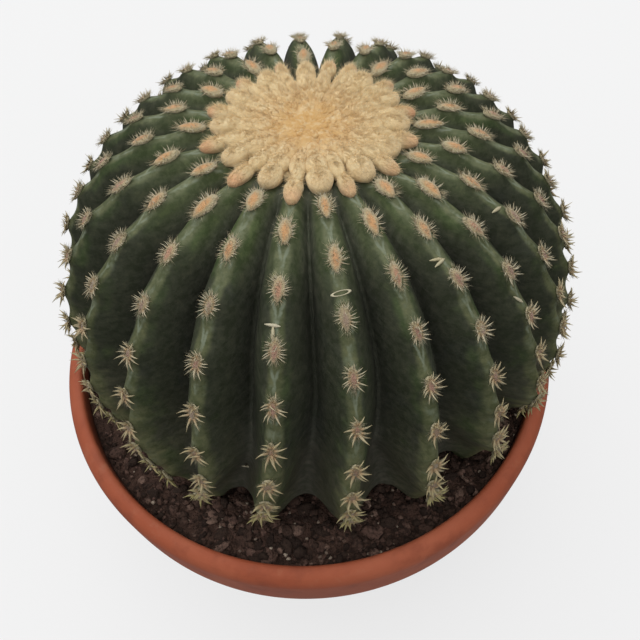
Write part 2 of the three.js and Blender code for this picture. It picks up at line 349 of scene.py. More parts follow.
# Soft patches of one size with finer ones inside them, as a mask from 0 to 1.
def makePatches():
    group, given, result = newGroup("patches", ("Place", "Size", "Cover"), "Mask")
    lifted = plus(noiseAt(given["Place"], given["Size"], 4, 0.6), given["Cover"])
    plug(band(lifted, 0.92, 1.12), result)
    return group


# Fine grain of two sizes, for the height of a bump.
def makeGrain():
    group, given, result = newGroup("grain", ("Place", "Size", "Coarse"), "Height")
    fine = noiseAt(given["Place"], given["Size"], 3, 0.5)
    coarse = noiseAt(given["Place"], times(given["Size"], 0.22), 2, 0.5)
    plug(plus(fine, times(coarse, given["Coarse"])), result)
    return group


# Streaks that run along the length of each joined copy, moved by its own random tone.
def makeStrands():
    group, given, result = newGroup("strands", ("Across", "Along"), "Streak")
    x, y, z = xyz(attribute(group, "own", "Vector"))
    shift = times(attribute(group, "tone"), 37.0)
    joined = group.nodes.new("ShaderNodeCombineXYZ")
    plug(plus(times(x, given["Across"]), shift), joined.inputs["X"])
    plug(plus(times(y, given["Along"]), shift), joined.inputs["Y"])
    plug(times(z, given["Across"]), joined.inputs["Z"])
    plug(noiseAt(joined.outputs[0], 1.0), result)
    return group


patches = makePatches()
grain = makeGrain()
strands = makeStrands()


def patchesAt(place, size, cover):
    return useGroup(place.id_data, patches, Place=place, Size=size, Cover=cover)


# The normal of a grained surface. Its look gives the grain's scale and coarseness, and the relief's
# strength and its depth in metres.
def grained(place, look, under=None):
    size, coarse = look["grain"]
    height = useGroup(place.id_data, grain, Place=place, Size=size, Coarse=coarse)
    return bump(height, *look["relief"], under)


clayLook = {
    "colour": (0.32, 0.072, 0.029),
    "pale": (0.385, 0.104, 0.049),
    "burnt": (0.22, 0.050, 0.022),
    "dust": (0.40, 0.20, 0.12),
    "wallShade": (0.05, 0.026, 0.017),
    "burntShare": 0.55,
    "ringShare": 0.25,
    "dustShare": 0.2,
    "wallShadeShare": 0.8,
    "wallShadeInside": 0.1165,  # metres from the axis
    "wallShadeBelow": 0.113,
    "cloudScale": 22,
    "burntScale": 55.0,
    "ringScale": (8, 8, 420),
    "dustScale": 130.0,
    "ringRelief": (0.25, 0.0006),
    "grain": (1300.0, 0.8),
    "relief": (0.22, 0.0006),
}


def makeClay():
    material, tree, shader = newMaterial("firedClay")
    place = objectPlace(tree)
    x, y, z = xyz(place)
    cloud = noiseAt(place, clayLook["cloudScale"], 5, 0.6)
    colour = colourMix(band(cloud, 0.35, 0.7), clayLook["colour"], clayLook["pale"])
    burnt = patchesAt(place, clayLook["burntScale"], 0.42)
    colour = layer(colour, burnt, clayLook, "burnt")
    rings = noiseAt(stretched(place, clayLook["ringScale"]), 1.0, 2)  # turning marks
    ringShare = times(band(rings, 0.5, 0.8), clayLook["ringShare"])
    colour = colourMix(ringShare, colour, clayLook["burnt"])
    colour = layer(colour, patchesAt(place, clayLook["dustScale"], 0.36), clayLook, "dust")
    # painted shade: the inner wall just above the soil is darkened where shade falls between the
    # rim and the soil
    radius, top = clayLook["wallShadeInside"], clayLook["wallShadeBelow"]
    inner = band(distance(x, y), radius + 0.0003, radius - 0.0003)
    below = band(z, top + 0.005, top - 0.005)
    colour = layer(colour, times(inner, below), clayLook, "wallShade")
    rough = plus(0.62, times(cloud, 0.22))
    normal = grained(place, clayLook, bump(rings, *clayLook["ringRelief"]))
    setShader(shader, colour=colour, rough=rough, specular=0.35, normal=normal)
    return material


soilLook = {
    "dark": (0.026, 0.015, 0.011),
    "dim": (0.04, 0.024, 0.017),
    "brown": (0.086, 0.048, 0.035),
    "reddish": (0.135, 0.077, 0.059),
    "pale": (0.22, 0.14, 0.105),
    "gritDark": (0.16, 0.11, 0.08),
    "gritPale": (0.42, 0.34, 0.26),
    "reddishShare": 0.5,
    "crumbScale": 260,
    "reddishScale": 150.0,
    "speckScale": 700,
    "ground": {"grain": (1100.0, 1.4), "relief": (0.9, 0.0016)},
    "crumb": {"grain": (1500.0, 1.0), "relief": (0.7, 0.001)},
    "grit": {"grain": (1800.0, 0.5), "relief": (0.4, 0.0006)},
}


def makeSoilGround():
    material, tree, shader = newMaterial("pottingSoil")
    place = objectPlace(tree)
    crumb = noiseAt(place, soilLook["crumbScale"], 5, 0.65)
    colour = colourMix(band(crumb, 0.35, 0.68), soilLook["dark"], soilLook["brown"])
    reddish = patchesAt(place, soilLook["reddishScale"], 0.4)
    colour = layer(colour, reddish, soilLook, "reddish")
    normal = grained(place, soilLook["ground"])
    setShader(shader, colour=colour, rough=0.95, specular=0.2, normal=normal)
    return material


def makeSoilCrumb():
    material, tree, shader = newMaterial("soilCrumb")
    place = objectPlace(tree)
    ramp = tree.nodes.new("ShaderNodeValToRGB")
    stops = ramp.color_ramp.elements
    stops.remove(stops[1])
    stops[0].color = (*soilLook["dark"], 1)
    for at, name in ((0.30, "dim"), (0.60, "brown"), (0.86, "reddish"), (1.0, "pale")):
        stops.new(at).color = (*soilLook[name], 1)
    plug(attribute(tree, "tone"), ramp.inputs["Fac"])
    speck = band(noiseAt(place, soilLook["speckScale"]), 0.4, 0.75)
    colour = colourMix(speck, ramp.outputs["Color"], soilLook["dark"])
    normal = grained(place, soilLook["crumb"])
    setShader(shader, colour=colour, rough=0.9, specular=0.25, normal=normal)
    return material


def makeGrit():
    material, tree, shader = newMaterial("paleGrit")
    tone = attribute(tree, "tone")
    colour = colourMix(tone, soilLook["gritDark"], soilLook["gritPale"])
    normal = grained(objectPlace(tree), soilLook["grit"])
    setShader(shader, colour=colour, rough=0.8, normal=normal)
    return material


skinLook = {
    # High, Mid and Foot colours run down the rib; partly the skin's own colour, partly painted
    # light: the Foot colours are brightened where the light falls off near the soil, and the valley
    # colours are lighter than the flank ones against the shade in the valleys
    "flankHigh": (0.088, 0.104, 0.052),
    "flankMid": (0.042, 0.046, 0.029),
    "flankFoot": (0.084, 0.083, 0.055),
    "valleyHigh": (0.105, 0.112, 0.078),
    "valleyMid": (0.046, 0.048, 0.035),
    "valleyFoot": (0.088, 0.086, 0.066),
    "crestHigh": (0.122, 0.134, 0.072),
    "crestMid": (0.094, 0.102, 0.050),
    "crestFoot": (0.140, 0.142, 0.070),
    "lively": (0.070, 0.105, 0.034),
    "bloom": (0.24, 0.275, 0.205),
    "bluish": (0.036, 0.041, 0.036),
    "cork": (0.14, 0.11, 0.065),
    "darker": (0.55, 0.62, 0.50),  # these two multiply what is below
    "lighter": (1.6, 1.5, 1.45),
    "blueShare": 0.35,
    "livelyShare": 0.5,
    "crestShare": 0.92,
    "darkerShare": 0.55,
    "lighterShare": 0.45,
    "waxShare": 0.32,
    "lineShare": 0.55,
    "corkShare": 0.4,
    "streakShare": 0.3,
    "wanderScale": 120,
    "blueScale": 45.0,
    "livelyScale": 38.0,
    "mottleScale": 330,
    "waxScale": 160.0,
    "swayScale": 300,
    "brokenScale": 180,
    "runScale": (330, 330, 14),
    "foldScale": (60, 60, 240),
    "foldRelief": (0.35, 0.0018),
    "grain": (1000.0, 1.0),
    "relief": (0.16, 0.0007),
    "lineStart": (2.5, 5.0),  # mm below the pad above
    "lineEnd": (18.0, 12.0),
    "lineApart": 2.6,  # half the gap between the two lines where they start
    "lineCloses": 0.22,
    "lineWidth": (0.75, 0.15),
}


def makeSkin():
    material, tree, shader = newMaterial("cactusSkin")
    place = objectPlace(tree)
    across = attribute(tree, "acrossRib")  # 0 on the crest, 1 in the valley
    side = attribute(tree, "acrossMm")
    down = attribute(tree, "downRib")  # mm from the wool
    below = attribute(tree, "belowPad")  # mm below the middle of the pad above
    wander = noiseAt(place, skinLook["wanderScale"])
    # the crest band narrows down the rib and widens again near the soil, partly as painted light
    # where the light falls off there
    narrower = plus(1.0, times(band(down, 25, 60), 0.6))
    narrower = minus(narrower, times(band(down, 80, 125), 0.4))
    ragged = plus(times(across, narrower), centred(wander, 0.4))

    # the colours of crest, flank and valley, each of them changing on the way down; partly painted
    # light: the foot colours are brightened where the light falls off near the soil, and the
    # valleys are lighter than the flanks against the shade in them
    foot = band(down, 95, 150)

    def downwards(part, start, end):
        mid = band(down, start, end)
        colour = colourMix(mid, skinLook[part + "High"], skinLook[part + "Mid"])
        return colourMix(foot, colour, skinLook[part + "Foot"])

    inValley = band(across, 0.5, 0.9)
    colour = colourMix(inValley, downwards("flank", 16, 50), downwards("valley", 16, 50))
    blue = times(patchesAt(place, skinLook["blueScale"], 0.38), skinLook["blueShare"])
    colour = colourMix(blue, colour, skinLook["bluish"])
    edge = times(band(ragged, 0.75, 0.45), band(ragged, 0.12, 0.32))
    lively = times(edge, patchesAt(place, skinLook["livelyScale"], 0.45))
    colour = layer(colour, lively, skinLook, "lively")
    crest = times(band(ragged, 0.42, 0.20), skinLook["crestShare"])
    colour = colourMix(crest, colour, downwards("crest", 25, 70))

    # darker and paler mottles
    mottle = noiseAt(place, skinLook["mottleScale"], 5, 0.65)
    colour = layer(colour, band(mottle, 0.52, 0.40), skinLook, "darker", "MULTIPLY")
    colour = layer(colour, band(mottle, 0.52, 0.66), skinLook, "lighter", "MULTIPLY")

    # pale wax: cloudy on the crest, and a thin pair of lines that run together below each pad
    cloudy = patchesAt(place, skinLook["waxScale"], 0.42)
    wax = times(band(across, 0.30, 0.05), cloudy, skinLook["waxShare"])
    apart = minus(skinLook["lineApart"], times(below, skinLook["lineCloses"]))
    sway = centred(noiseAt(place, skinLook["swayScale"], 2), 1.6)
    offLine = minus(plus(side, sway), mathNode("MAXIMUM", apart, 0.0))
    onLine = band(mathNode("ABSOLUTE", offLine, 0.0), *skinLook["lineWidth"])
    lineLength = times(band(below, *skinLook["lineStart"]), band(below, *skinLook["lineEnd"]))
    broken = band(noiseAt(place, skinLook["brokenScale"], 4), 0.38, 0.62)
    line = times(onLine, lineLength, broken, band(down, 125, 85), skinLook["lineShare"])
    colour = colourMix(mathNode("MAXIMUM", wax, line), colour, skinLook["bloom"])

    # corky at the foot, and thin dark streaks that run down the valleys
    corky = times(band(down, 138, 165), band(wander, 0.42, 0.6))
    colour = layer(colour, times(corky, band(across, 0.35, 0.12)), skinLook, "cork")
    runs = noiseAt(stretched(place, skinLook["runScale"]), 1.0, 2)
    streak = times(band(runs, 0.66, 0.76), band(across, 0.55, 0.8), skinLook["streakShare"])
    colour = colourMix(streak, colour, skinLook["bluish"])

    rough = plus(0.50, times(mottle, 0.35))
    folds = noiseAt(stretched(place, skinLook["foldScale"]), 1.0)
    normal = grained(place, skinLook, bump(folds, *skinLook["foldRelief"]))
    setShader(shader, colour=colour, rough=rough, specular=0.10, normal=normal)
    return material


feltLook = {
    "coreYoung": (0.56, 0.31, 0.140),
    "coreMid": (0.38, 0.215, 0.155),
    "coreOld": (0.25, 0.150, 0.080),
    "grey": (0.31, 0.265, 0.195),
    "felt": (0.42, 0.33, 0.185),
    "edge": (0.45, 0.39, 0.245),
    "old": (0.26, 0.215, 0.115),
    "greyShare": 0.7,
    "oldShare": 0.8,
    "coreFades": (0.85, 0.25),  # from the middle of the pad, 1 is its edge
    "edgeStarts": (0.75, 1.05),
    "grain": (1900.0, 1.0),
    "relief": (0.8, 0.0009),
}


def makeFelt():
    material, tree, shader = newMaterial("padFelt")
    age = attribute(tree, "share")  # 0 young by the wool, 1 old by the soil
    streak = useGroup(tree, strands, Across=3.2, Along=1.6)
    x, y, _ = xyz(attribute(tree, "own", "Vector"))
    away = distance(times(x, 1.15), times(minus(y, 0.1), 0.95))
    away = plus(away, centred(streak, 0.5))
    young = colourMix(streak, feltLook["felt"], feltLook["edge"])
    around = layer(young, age, feltLook, "old")
    middleAged = band(age, 0.02, 0.25)
    core = colourMix(middleAged, feltLook["coreYoung"], feltLook["coreMid"])
    core = colourMix(band(age, 0.6, 1.0), core, feltLook["coreOld"])
    greyed = times(band(attribute(tree, "tone"), 0.35, 1.0), band(age, 0.1, 0.35))
    core = layer(core, greyed, feltLook, "grey")
    colour = colourMix(band(away, *feltLook["coreFades"]), around, core)
    colour = colourMix(band(away, *feltLook["edgeStarts"]), colour, feltLook["edge"])
    normal = grained(objectPlace(tree), feltLook)
    setShader(shader, colour=colour, rough=0.95, sheen=0.25, specular=0.15, normal=normal)
    return material


hairLook = {
    "young": (0.62, 0.54, 0.355),
    "cream": (0.49, 0.45, 0.33),
    "tan": (0.44, 0.32, 0.19),
    "old": (0.25, 0.215, 0.12),
    "oldShare": 0.8,
    "fuzzScale": 2600,
    "relief": (0.3, 0.0002),
}


def makePadHair():
    material, tree, shader = newMaterial("padHair")
    age = attribute(tree, "share")
    cream = colourMix(band(age, 0.1, 0.6), hairLook["young"], hairLook["cream"])
    some = band(attribute(tree, "tone"), 0.72, 0.95)
    colour = colourMix(some, cream, hairLook["tan"])
    colour = layer(colour, age, hairLook, "old")
    fuzz = noiseAt(objectPlace(tree), hairLook["fuzzScale"], 2)
    normal = bump(fuzz, *hairLook["relief"])
    setShader(shader, colour=colour, rough=0.8, normal=normal)
    return material


spineLook = {
    "root": (0.40, 0.27, 0.145),
    "young": (0.50, 0.45, 0.32),
    "shaft": (0.42, 0.35, 0.195),
    "foot": (0.37, 0.33, 0.13),
    "tip": (0.40, 0.32, 0.17),
    "rootShare": 0.2,  # of the root's colour all along some spines
    "ridgeScale": (18, 18, 3),
    "relief": (0.25, 0.0004),
}


def makeSpine():
    material, tree, shader = newMaterial("creamSpine")
    own = attribute(tree, "own", "Vector")
    age = attribute(tree, "share")
    along = xyz(own)[2]
    shaft = colourMix(band(age, 0.3, 0.65), spineLook["young"], spineLook["shaft"])
    shaft = colourMix(band(age, 0.74, 0.96), shaft, spineLook["foot"])
    colour = colourMix(band(along, 0.1, 0.5), spineLook["root"], shaft)
    colour = colourMix(band(along, 0.75, 1.0), colour, spineLook["tip"])
    colour = layer(colour, attribute(tree, "tone"), spineLook, "root")
    ridges = noiseAt(stretched(own, spineLook["ridgeScale"]), 1.0, 2)
    normal = bump(ridges, *spineLook["relief"])
    setShader(shader, colour=colour, rough=0.42, normal=normal)
    return material


woolLook = {
    "heart": (0.53, 0.315, 0.115),
    "cream": (0.72, 0.565, 0.325),
    "pale": (0.72, 0.60, 0.38),
    "dullAndShade": (0.60, 0.43, 0.22),
    "peach": (0.63, 0.315, 0.165),
    "paleShare": 0.35,
    "dullShare": 0.3,
    "sideShadeShare": 0.5,
    "heartWidth": (0.004, 0.030),
    "cloudScale": 170,
    "mottleScale": 420,
    "strandRelief": (0.3, 0.0008),
    "grain": (1500.0, 1.2),
    "relief": (0.5, 0.0006),
}


def makeWool(name, centre, strength):
    material, tree, shader = newMaterial(name)
    place = objectPlace(tree)
    x, y, _ = xyz(stretched(place, (1, 1, 1), -centre))
    cloudy = noiseAt(place, woolLook["cloudScale"], 4)
    outwards = band(plus(distance(x, y), centred(cloudy, 0.016)), *woolLook["heartWidth"])
    colour = colourMix(outwards, woolLook["heart"], woolLook["cream"])
    mottled = noiseAt(place, woolLook["mottleScale"])
    colour = layer(colour, band(mottled, 0.48, 0.62), woolLook, "pale")
    dull = times(band(mottled, 0.47, 0.36), woolLook["dullShare"])
    colour = colourMix(dull, colour, woolLook["dullAndShade"])
    colour = layer(colour, band(cloudy, 0.55, 0.75), woolLook, "pale")
    _, along, up = xyz(attribute(tree, "own", "Vector"))
    # painted shade: the lower sides of each tuft are darkened towards the shade colour, which also
    # serves the dull mottles
    side = times(band(up, 0.35, -0.25), woolLook["sideShadeShare"])
    colour = colourMix(side, colour, woolLook["dullAndShade"])
    tip = times(band(along, -0.1, 0.8), attribute(tree, "share"))
    colour = colourMix(tip, colour, woolLook["peach"])
    # with a strength above 1 this is painted light: the colour is brightened against the shade that
    # the fibres cast on one another
    colour = colourMix(1.0, colour, (strength, strength, strength), "MULTIPLY")
    streaks = useGroup(tree, strands, Across=5.0, Along=1.1)
    normal = grained(place, woolLook, bump(streaks, *woolLook["strandRelief"]))
    setShader(shader, colour=colour, rough=1.0, sheen=0.2, specular=0.05, normal=normal)
    return material


huskLook = {
    "pale": (0.50, 0.45, 0.33),
    "straw": (0.40, 0.35, 0.20),
    "grain": (1600.0, 0.6),
    "relief": (0.4, 0.0005),
}


def makeHusk():
    material, tree, shader = newMaterial("dryHusk")
    colour = colourMix(attribute(tree, "tone"), huskLook["pale"], huskLook["straw"])
    normal = grained(objectPlace(tree), huskLook)
    setShader(shader, colour=colour, rough=0.7, normal=normal)
    return material


print("node groups made")


# clay bowl

bowl = {
    "segments": 160,
    "rimRadius": 0.125,
    "innerRadius": 0.116,
    "height": 0.120,
    "lipHeight": 0.0085,
    "lipWidth": 0.007,
    "collarFoot": 0.084,
    "collarStep": 0.005,
    "footRadius": 0.080,
    "floor": 0.009,
    "drainRadius": 0.009,
    "unevenness": 0.0016,
    "lipSteps": 10,
    "innerWall": [  # radius and height
        (0.116, 0.1175), (0.1156, 0.105), (0.115, 0.092), (0.111, 0.076),
        (0.098, 0.042), (0.075, 0.0125), (0.069, 0.009),
    ],
}


def makeBowl():
    rim, height, collarFoot = bowl["rimRadius"], bowl["height"], bowl["collarFoot"]
    foot, drain = bowl["footRadius"], bowl["drainRadius"]
    body = rim - bowl["collarStep"]
    outline = [
        (drain, 0.0004),
        (drain + 0.0006, 0),
        (0.045, 0),
        (foot - 0.002, 0),
        (foot - 0.0005, 0.0005),
        (foot, 0.002),
        (0.0866, 0.0125),
        (0.094, 0.025),
        (0.1025, 0.0425),
        (body - 0.009, 0.062),
        (body - 0.0018, collarFoot - 0.004),
        (body - 0.0008, collarFoot - 0.0008),
        (body, collarFoot),
        (rim - 0.0022, collarFoot + 0.0004),
        (rim - 0.001, collarFoot + 0.0014),
        (rim - 0.0005, collarFoot + 0.003),
        (rim - 0.0002, collarFoot + 0.012),
        (rim, height - bowl["lipHeight"] - 0.004),
    ]
    for step in range(bowl["lipSteps"] + 1):
        angle = step / bowl["lipSteps"] * pi / 2
        radius = rim - bowl["lipWidth"] * (1 - cos(angle))
        outline.append((radius, height - bowl["lipHeight"] * (1 - sin(angle))))
    outline += [(0.1170, 0.1196), (0.1163, 0.1188), *bowl["innerWall"]]
    outline += [(0.040, bowl["floor"]), (drain, bowl["floor"]), outline[0]]
    piece = extrudedRings("clayBowl", bowl["segments"], outline)
    points = pointsOf(piece)
    for point in points:  # thrown by hand, so never quite round
        angle = atan2(point[1], point[0])
        sway = noise.noise(Vector((cos(angle) * 1.3, sin(angle) * 1.3, point[2] * 9)))
        point[:2] *= 1 + bowl["unevenness"] * sway * smoothStep(point[2], 0.0, 0.06)
    setPoints(piece, points)
    makeActive(piece)
    finer = piece.modifiers.new("finer", "SUBSURF")
    finer.levels = finer.render_levels = 1
    bpy.ops.object.modifier_apply(modifier=finer.name)
    shadeSmooth(piece)
    return piece


clayBowl = makeBowl()
finishPiece(clayBowl, makeClay())
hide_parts("pot")
print("bowl:", len(clayBowl.data.polygons), "faces")


# how the plant is laid out: the same rule as in the part's source

plant = {
    "ribs": 25,
    "firstRib": -109,  # degrees, 0 is +X
    "crowding": [(5.8, 34.5), (1.8, 60)],  # swing and phase in degrees
    "footBends": {24: 1.4, 0: -2.4, 1: -2, 2: -0.5, 3: 1.4, 4: 2.7},  # rib and degrees
    "bendStart": 0.080,
    "bendEnd": 0.150,
    "footSplays": {
        23: 3.5, 24: -7.5, 0: -3.7, 1: 1.1, 2: 5.9, 3: 9.2, 4: 9.2, 5: 7.5, 6: 5, 7: 2.5,
    },
    "splayStart": 0.128,
    "splayEnd": 0.184,
    "parityBreak": 13,
    "place": (0.0075, 0.005, 0.120),
    "lean": (-0.089, 0.025),  # radians about X and Y
    "crownTwist": -0.029,
    "globeCentre": 0.075,
    "firstPad": 0.002,
    "padStep": 0.020,
    "footPadStep": 0.015,
    "evenRows": 12,
    "lastRow": 19,
    "valleyShare": 0.75,
    "valleyStart": 0.008,
    "valleyFill": 0.55,  # how far the valleys fill up near the soil, between these two heights
    "fillStart": 0.030,
    "fillEnd": -0.022,
    "ribRoundness": 2.4,
    "hollowRoundness": 1.7,
    "ridgeStart": 0.040,
    "ridgeEnd": 0.140,
    "crestShare": 0.18,
    "woolRadius": 0.033,
    "dishDepth": 0.011,
    "soilTop": 0.110,
    "rimGap": 0.001,
    "probe": 0.001,  # half the stretch over which a crest's slope is taken
}
crestOutline = [
    (0.033, 0.1245), (0.045, 0.126), (0.058, 0.1237), (0.0733, 0.1173), (0.0874, 0.1068),
    (0.0989, 0.0924), (0.107, 0.075), (0.1122, 0.055), (0.1138, 0.037), (0.1115, 0.018),
    (0.1063, 0.0), (0.101, -0.017), (0.095, -0.030),
]
crownEdge = crestOutline[0][1]  # height of the ribs beside the wool
lean = Matrix.Rotation(plant["lean"][0], 4, "X") @ Matrix.Rotation(plant["lean"][1], 4, "Y")
plantToWorld = Matrix.Translation(plant["place"]) @ lean
worldToPlant = plantToWorld.inverted()


# A smooth curve through all points, and the length along it at each of its steps.
def crestCurve(points, steps=40):
    curve = []
    for i in range(len(points) - 1):
        a, b = points[max(i - 1, 0)], points[i]
        c, d = points[i + 1], points[min(i + 2, len(points) - 1)]
        for step in range(steps):
            t = step / steps
            curve.append([
                (2 * b[n] - 2 * c[n] + (c[n] - a[n]) / 2 + (d[n] - b[n]) / 2) * t**3
                + (-3 * b[n] + 3 * c[n] - (c[n] - a[n]) - (d[n] - b[n]) / 2) * t**2
                + (c[n] - a[n]) / 2 * t
                + b[n]
                for n in (0, 1)
            ])
    curve.append(list(points[-1]))
    curve = np.array(curve)
    lengths = np.concatenate([[0], np.cumsum(np.hypot(*np.diff(curve, axis=0).T))])
    return curve, lengths


crestLine, crestLengths = crestCurve(crestOutline)
crestEnd = float(crestLengths[-1])


def alongCrest(length):
    return (float(np.interp(length, crestLengths, crestLine[:, n])) for n in (0, 1))


# Radius, height, and the way outwards from the skin.
def crestAt(length):
    radius, height = alongCrest(length)
    nearR, nearH = alongCrest(max(length - plant["probe"], 0))
    farR, farH = alongCrest(min(length + plant["probe"], crestEnd))
    reach = hypot(farR - nearR, farH - nearH)
    return radius, height, (nearH - farH) / reach, (farR - nearR) / reach


def ribAngle(rib):
    turn = 360 / plant["ribs"] * rib
    angle = plant["firstRib"] + turn
    for order, (swing, phase) in enumerate(plant["crowding"], 1):
        angle += swing * cos(radians(order * turn - phase))
    return radians(angle)


def crestAngle(rib, length):
    radius, height = alongCrest(length)
    polar = atan2(height - plant["globeCentre"], radius)
    number = rib % plant["ribs"]
    bend = smoothStep(length, plant["bendStart"], plant["bendEnd"])
    bend *= plant["footBends"].get(number, 0)
    splay = smoothStep(length, plant["splayStart"], plant["splayEnd"])
    splay *= plant["footSplays"].get(number, 0)
    return ribAngle(rib) + plant["crownTwist"] * polar * polar + radians(bend + splay)


def padParity(rib):
    return rib % 2 if rib < plant["parityBreak"] else (rib + 1) % 2


def rowLength(row):
    even = min(row, plant["evenRows"])
    crowded = row - even
    return plant["firstPad"] + even * plant["padStep"] / 2 + crowded * plant["footPadStep"] / 2


def padLengths(rib):
    return [rowLength(row) for row in range(padParity(rib), plant["lastRow"], 2) if row > 0]


padTable = [padLengths(rib) for rib in range(plant["ribs"])]


def valleyDepth(ribWidth, height, length):
    nearSoil = smoothStep(-height, -plant["fillStart"], -plant["fillEnd"])
    awayFromWool = smoothStep(length, 0, plant["valleyStart"])
    return plant["valleyShare"] * ribWidth * awayFromWool * (1 - plant["valleyFill"] * nearSoil)


skin = {
    "columns": 24,  # per rib
    "crestSoftness": 0.18,
    "rings": 144,
    "dishRings": 6,
    "footRings": 8,
    "footDrop": 0.006,
    "swell": 1.35,  # round each pad, less the dent that runs all along the rib
    "dent": 0.35,
    "swellReach": 0.0052,
    "swellStart": (0.004, 0.010),  # from the wool
    "swellAcross": (0.1, 0.62),
    "sharper": 0.22,  # the crease beside a swelling
    "padRise": 0.0014,
    "archHeight": 0.0085,
    "archDepth": 0.014,
    "archEdge": 0.004,
    "archRises": (0.22, 0.65),  # shares of the way from crest to valley
    "archDeepens": (0.22, 0.5),
    "unevenness": 0.0006,
    "waves": 55,  # noise scale of the unevenness
    "rimClearance": 0.003,
    "frameReach": 0.004,  # how far from a pad the lie of the skin is read, down the rib
    "frameAcross": 0.2,  # and to the sides, as a share of the rib
}


def padSwell(rib, length):
    nearest = min(abs(length - pad) for pad in padTable[rib % plant["ribs"]])
    return skin["swell"] * np.exp(-((nearest / skin["swellReach"]) ** 2)) - skin["dent"]


# How far a ridge has fallen at a share of the way from its crest to the hollow beside it.
def ridgeFall(away):
    past = (away - plant["crestShare"]) / (1 - plant["crestShare"])
    past = (past + hypot(past, skin["crestSoftness"])) / 2
    return 1 - (1 - min(past, 1)) ** plant["hollowRoundness"]


# The ribs are round with a crease between them at the top, and turn into ridges near the soil.
def ribFall(away, length, roundness):
    ridged = ridgeFall(away) - ridgeFall(0)
    onRidge = smoothStep(length, plant["ridgeStart"], plant["ridgeEnd"])
    return mixed(away**roundness, ridged, onRidge)


# A point of the ribbed skin: across runs from -1 to 1, from valley to valley. What is known of the
# ring, its crest and the angles of this rib and its neighbours, is handed in to save time.
def skinPoint(rib, across, length, crest=None, middle=None, before=None, after=None):
    radius, height, outR, outH = crest or crestAt(length)
    middle = crestAngle(rib, length) if middle is None else middle
    before = crestAngle(rib - 1, length) if before is None else before
    after = crestAngle(rib + 1, length) if after is None else after
    reach = (middle - before) / 2 if across < 0 else (after - middle) / 2
    away = abs(across)
    swell = padSwell(rib, length) * smoothStep(length, *skin["swellStart"])
    roundness = plant["ribRoundness"] + skin["sharper"] * max(swell, 0)
    rise = skin["padRise"] * swell * (1 - smoothStep(away, *skin["swellAcross"]))
    rise -= valleyDepth(2 * reach * radius, height, length) * ribFall(away, length, roundness)
    angle = middle + across * reach
    spot = Vector((radius * cos(angle), radius * sin(angle), height))
    waves = noise.noise(spot * skin["waves"])
    rise += skin["unevenness"] * waves * smoothStep(length, 0.0, 0.02)
    reachR = radius + outR * rise
    point = Vector((reachR * cos(angle), reachR * sin(angle), height + outH * rise))
    world = plantToWorld @ point

    # between the feet of the ribs the skin draws back above the soil, in dark arches
    above = world.z - plant["soilTop"]
    arch = skin["archHeight"] * smoothStep(away, *skin["archRises"])
    if above < arch:
        back = skin["archDepth"] * smoothStep(arch - above, 0, skin["archEdge"])
        back *= smoothStep(away, *skin["archDeepens"])
        flat = Vector((world.x - plant["place"][0], world.y - plant["place"][1]))
        flat *= max(0.0, 1 - back / flat.length)
        world.x, world.y = plant["place"][0] + flat.x, plant["place"][1] + flat.y

    # the bowl's rim holds the ribs that press against it
    aboveRim = max(0.0, world.z - bowl["height"] - skin["rimClearance"])
    limit = bowl["innerRadius"] - plant["rimGap"] + aboveRim
    fromAxis = hypot(world.x, world.y)
    if fromAxis > limit:
        world.x *= limit / fromAxis
        world.y *= limit / fromAxis
    return world


def makeSkinBody():
    ribs, columns, rings = plant["ribs"], skin["columns"], skin["rings"]
    deselectAll()
    bpy.ops.mesh.primitive_uv_sphere_add(segments=ribs * columns, ring_count=rings, radius=1)
    piece = bpy.context.object
    piece.name = "ribbedSkin"
    piece.data.uv_layers.remove(piece.data.uv_layers[0])
    points = pointsOf(piece)

    # every point of the sphere goes to its own ring and column of the ribbed skin
    rows = np.rint(np.arccos(np.clip(points[:, 2], -1, 1)) / pi * rings).astype(int)
    turns = np.rint(np.arctan2(points[:, 1], points[:, 0]) / tau * ribs * columns).astype(int)
    firstCrest = skin["dishRings"]
    lastCrest = rings - skin["footRings"]
    across, side, down, below = (np.zeros(len(points)) for _ in range(4))
    tables = {}
    for row in range(firstCrest, lastCrest + 1):
        length = (row - firstCrest) / (lastCrest - firstCrest) * crestEnd
        angles = [crestAngle(rib, length) for rib in range(-1, ribs + 1)]
        tables[row] = length, crestAt(length), angles
    for i, (row, turn) in enumerate(zip(rows, turns)):
        turn %= ribs * columns
        rib = ((turn + columns // 2) // columns) % ribs
        column = (turn - rib * columns + columns // 2) % (ribs * columns) - columns // 2
        share = column / (columns / 2)
        kept = min(max(row, firstCrest), lastCrest)
        length, crest, angles = tables[kept]
        world = skinPoint(rib, share, length, crest, angles[rib + 1], angles[rib], angles[rib + 2])
        if row != kept:  # the rings that close the dish at the top and the foot
            inward = row / firstCrest if row < kept else (rings - row) / (rings - lastCrest)
            drop = plant["dishDepth"] if row < kept else skin["footDrop"]
            local = worldToPlant @ world
            local.z -= drop * (1 - inward)
            local.x *= inward
            local.y *= inward
            world = plantToWorld @ local
        points[i] = world
        past = max([pad for pad in padTable[rib] if pad <= length] or [plant["firstPad"]])
        across[i] = abs(share)
        side[i] = abs(share) * pi * crest[0] / ribs * 1000
        down[i] = length * 1000
        below[i] = max(0.0, length - past) * 1000
    setPoints(piece, points)
    measures = {"acrossRib": across, "acrossMm": side, "downRib": down, "belowPad": below}
    for name, values in measures.items():
        addFloats(piece, name, values)
    shadeSmooth(piece)
    return piece


ribbedSkin = makeSkinBody()
finishPiece(ribbedSkin, makeSkin())
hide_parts("cactus_body")
print("skin:", len(ribbedSkin.data.polygons), "faces")


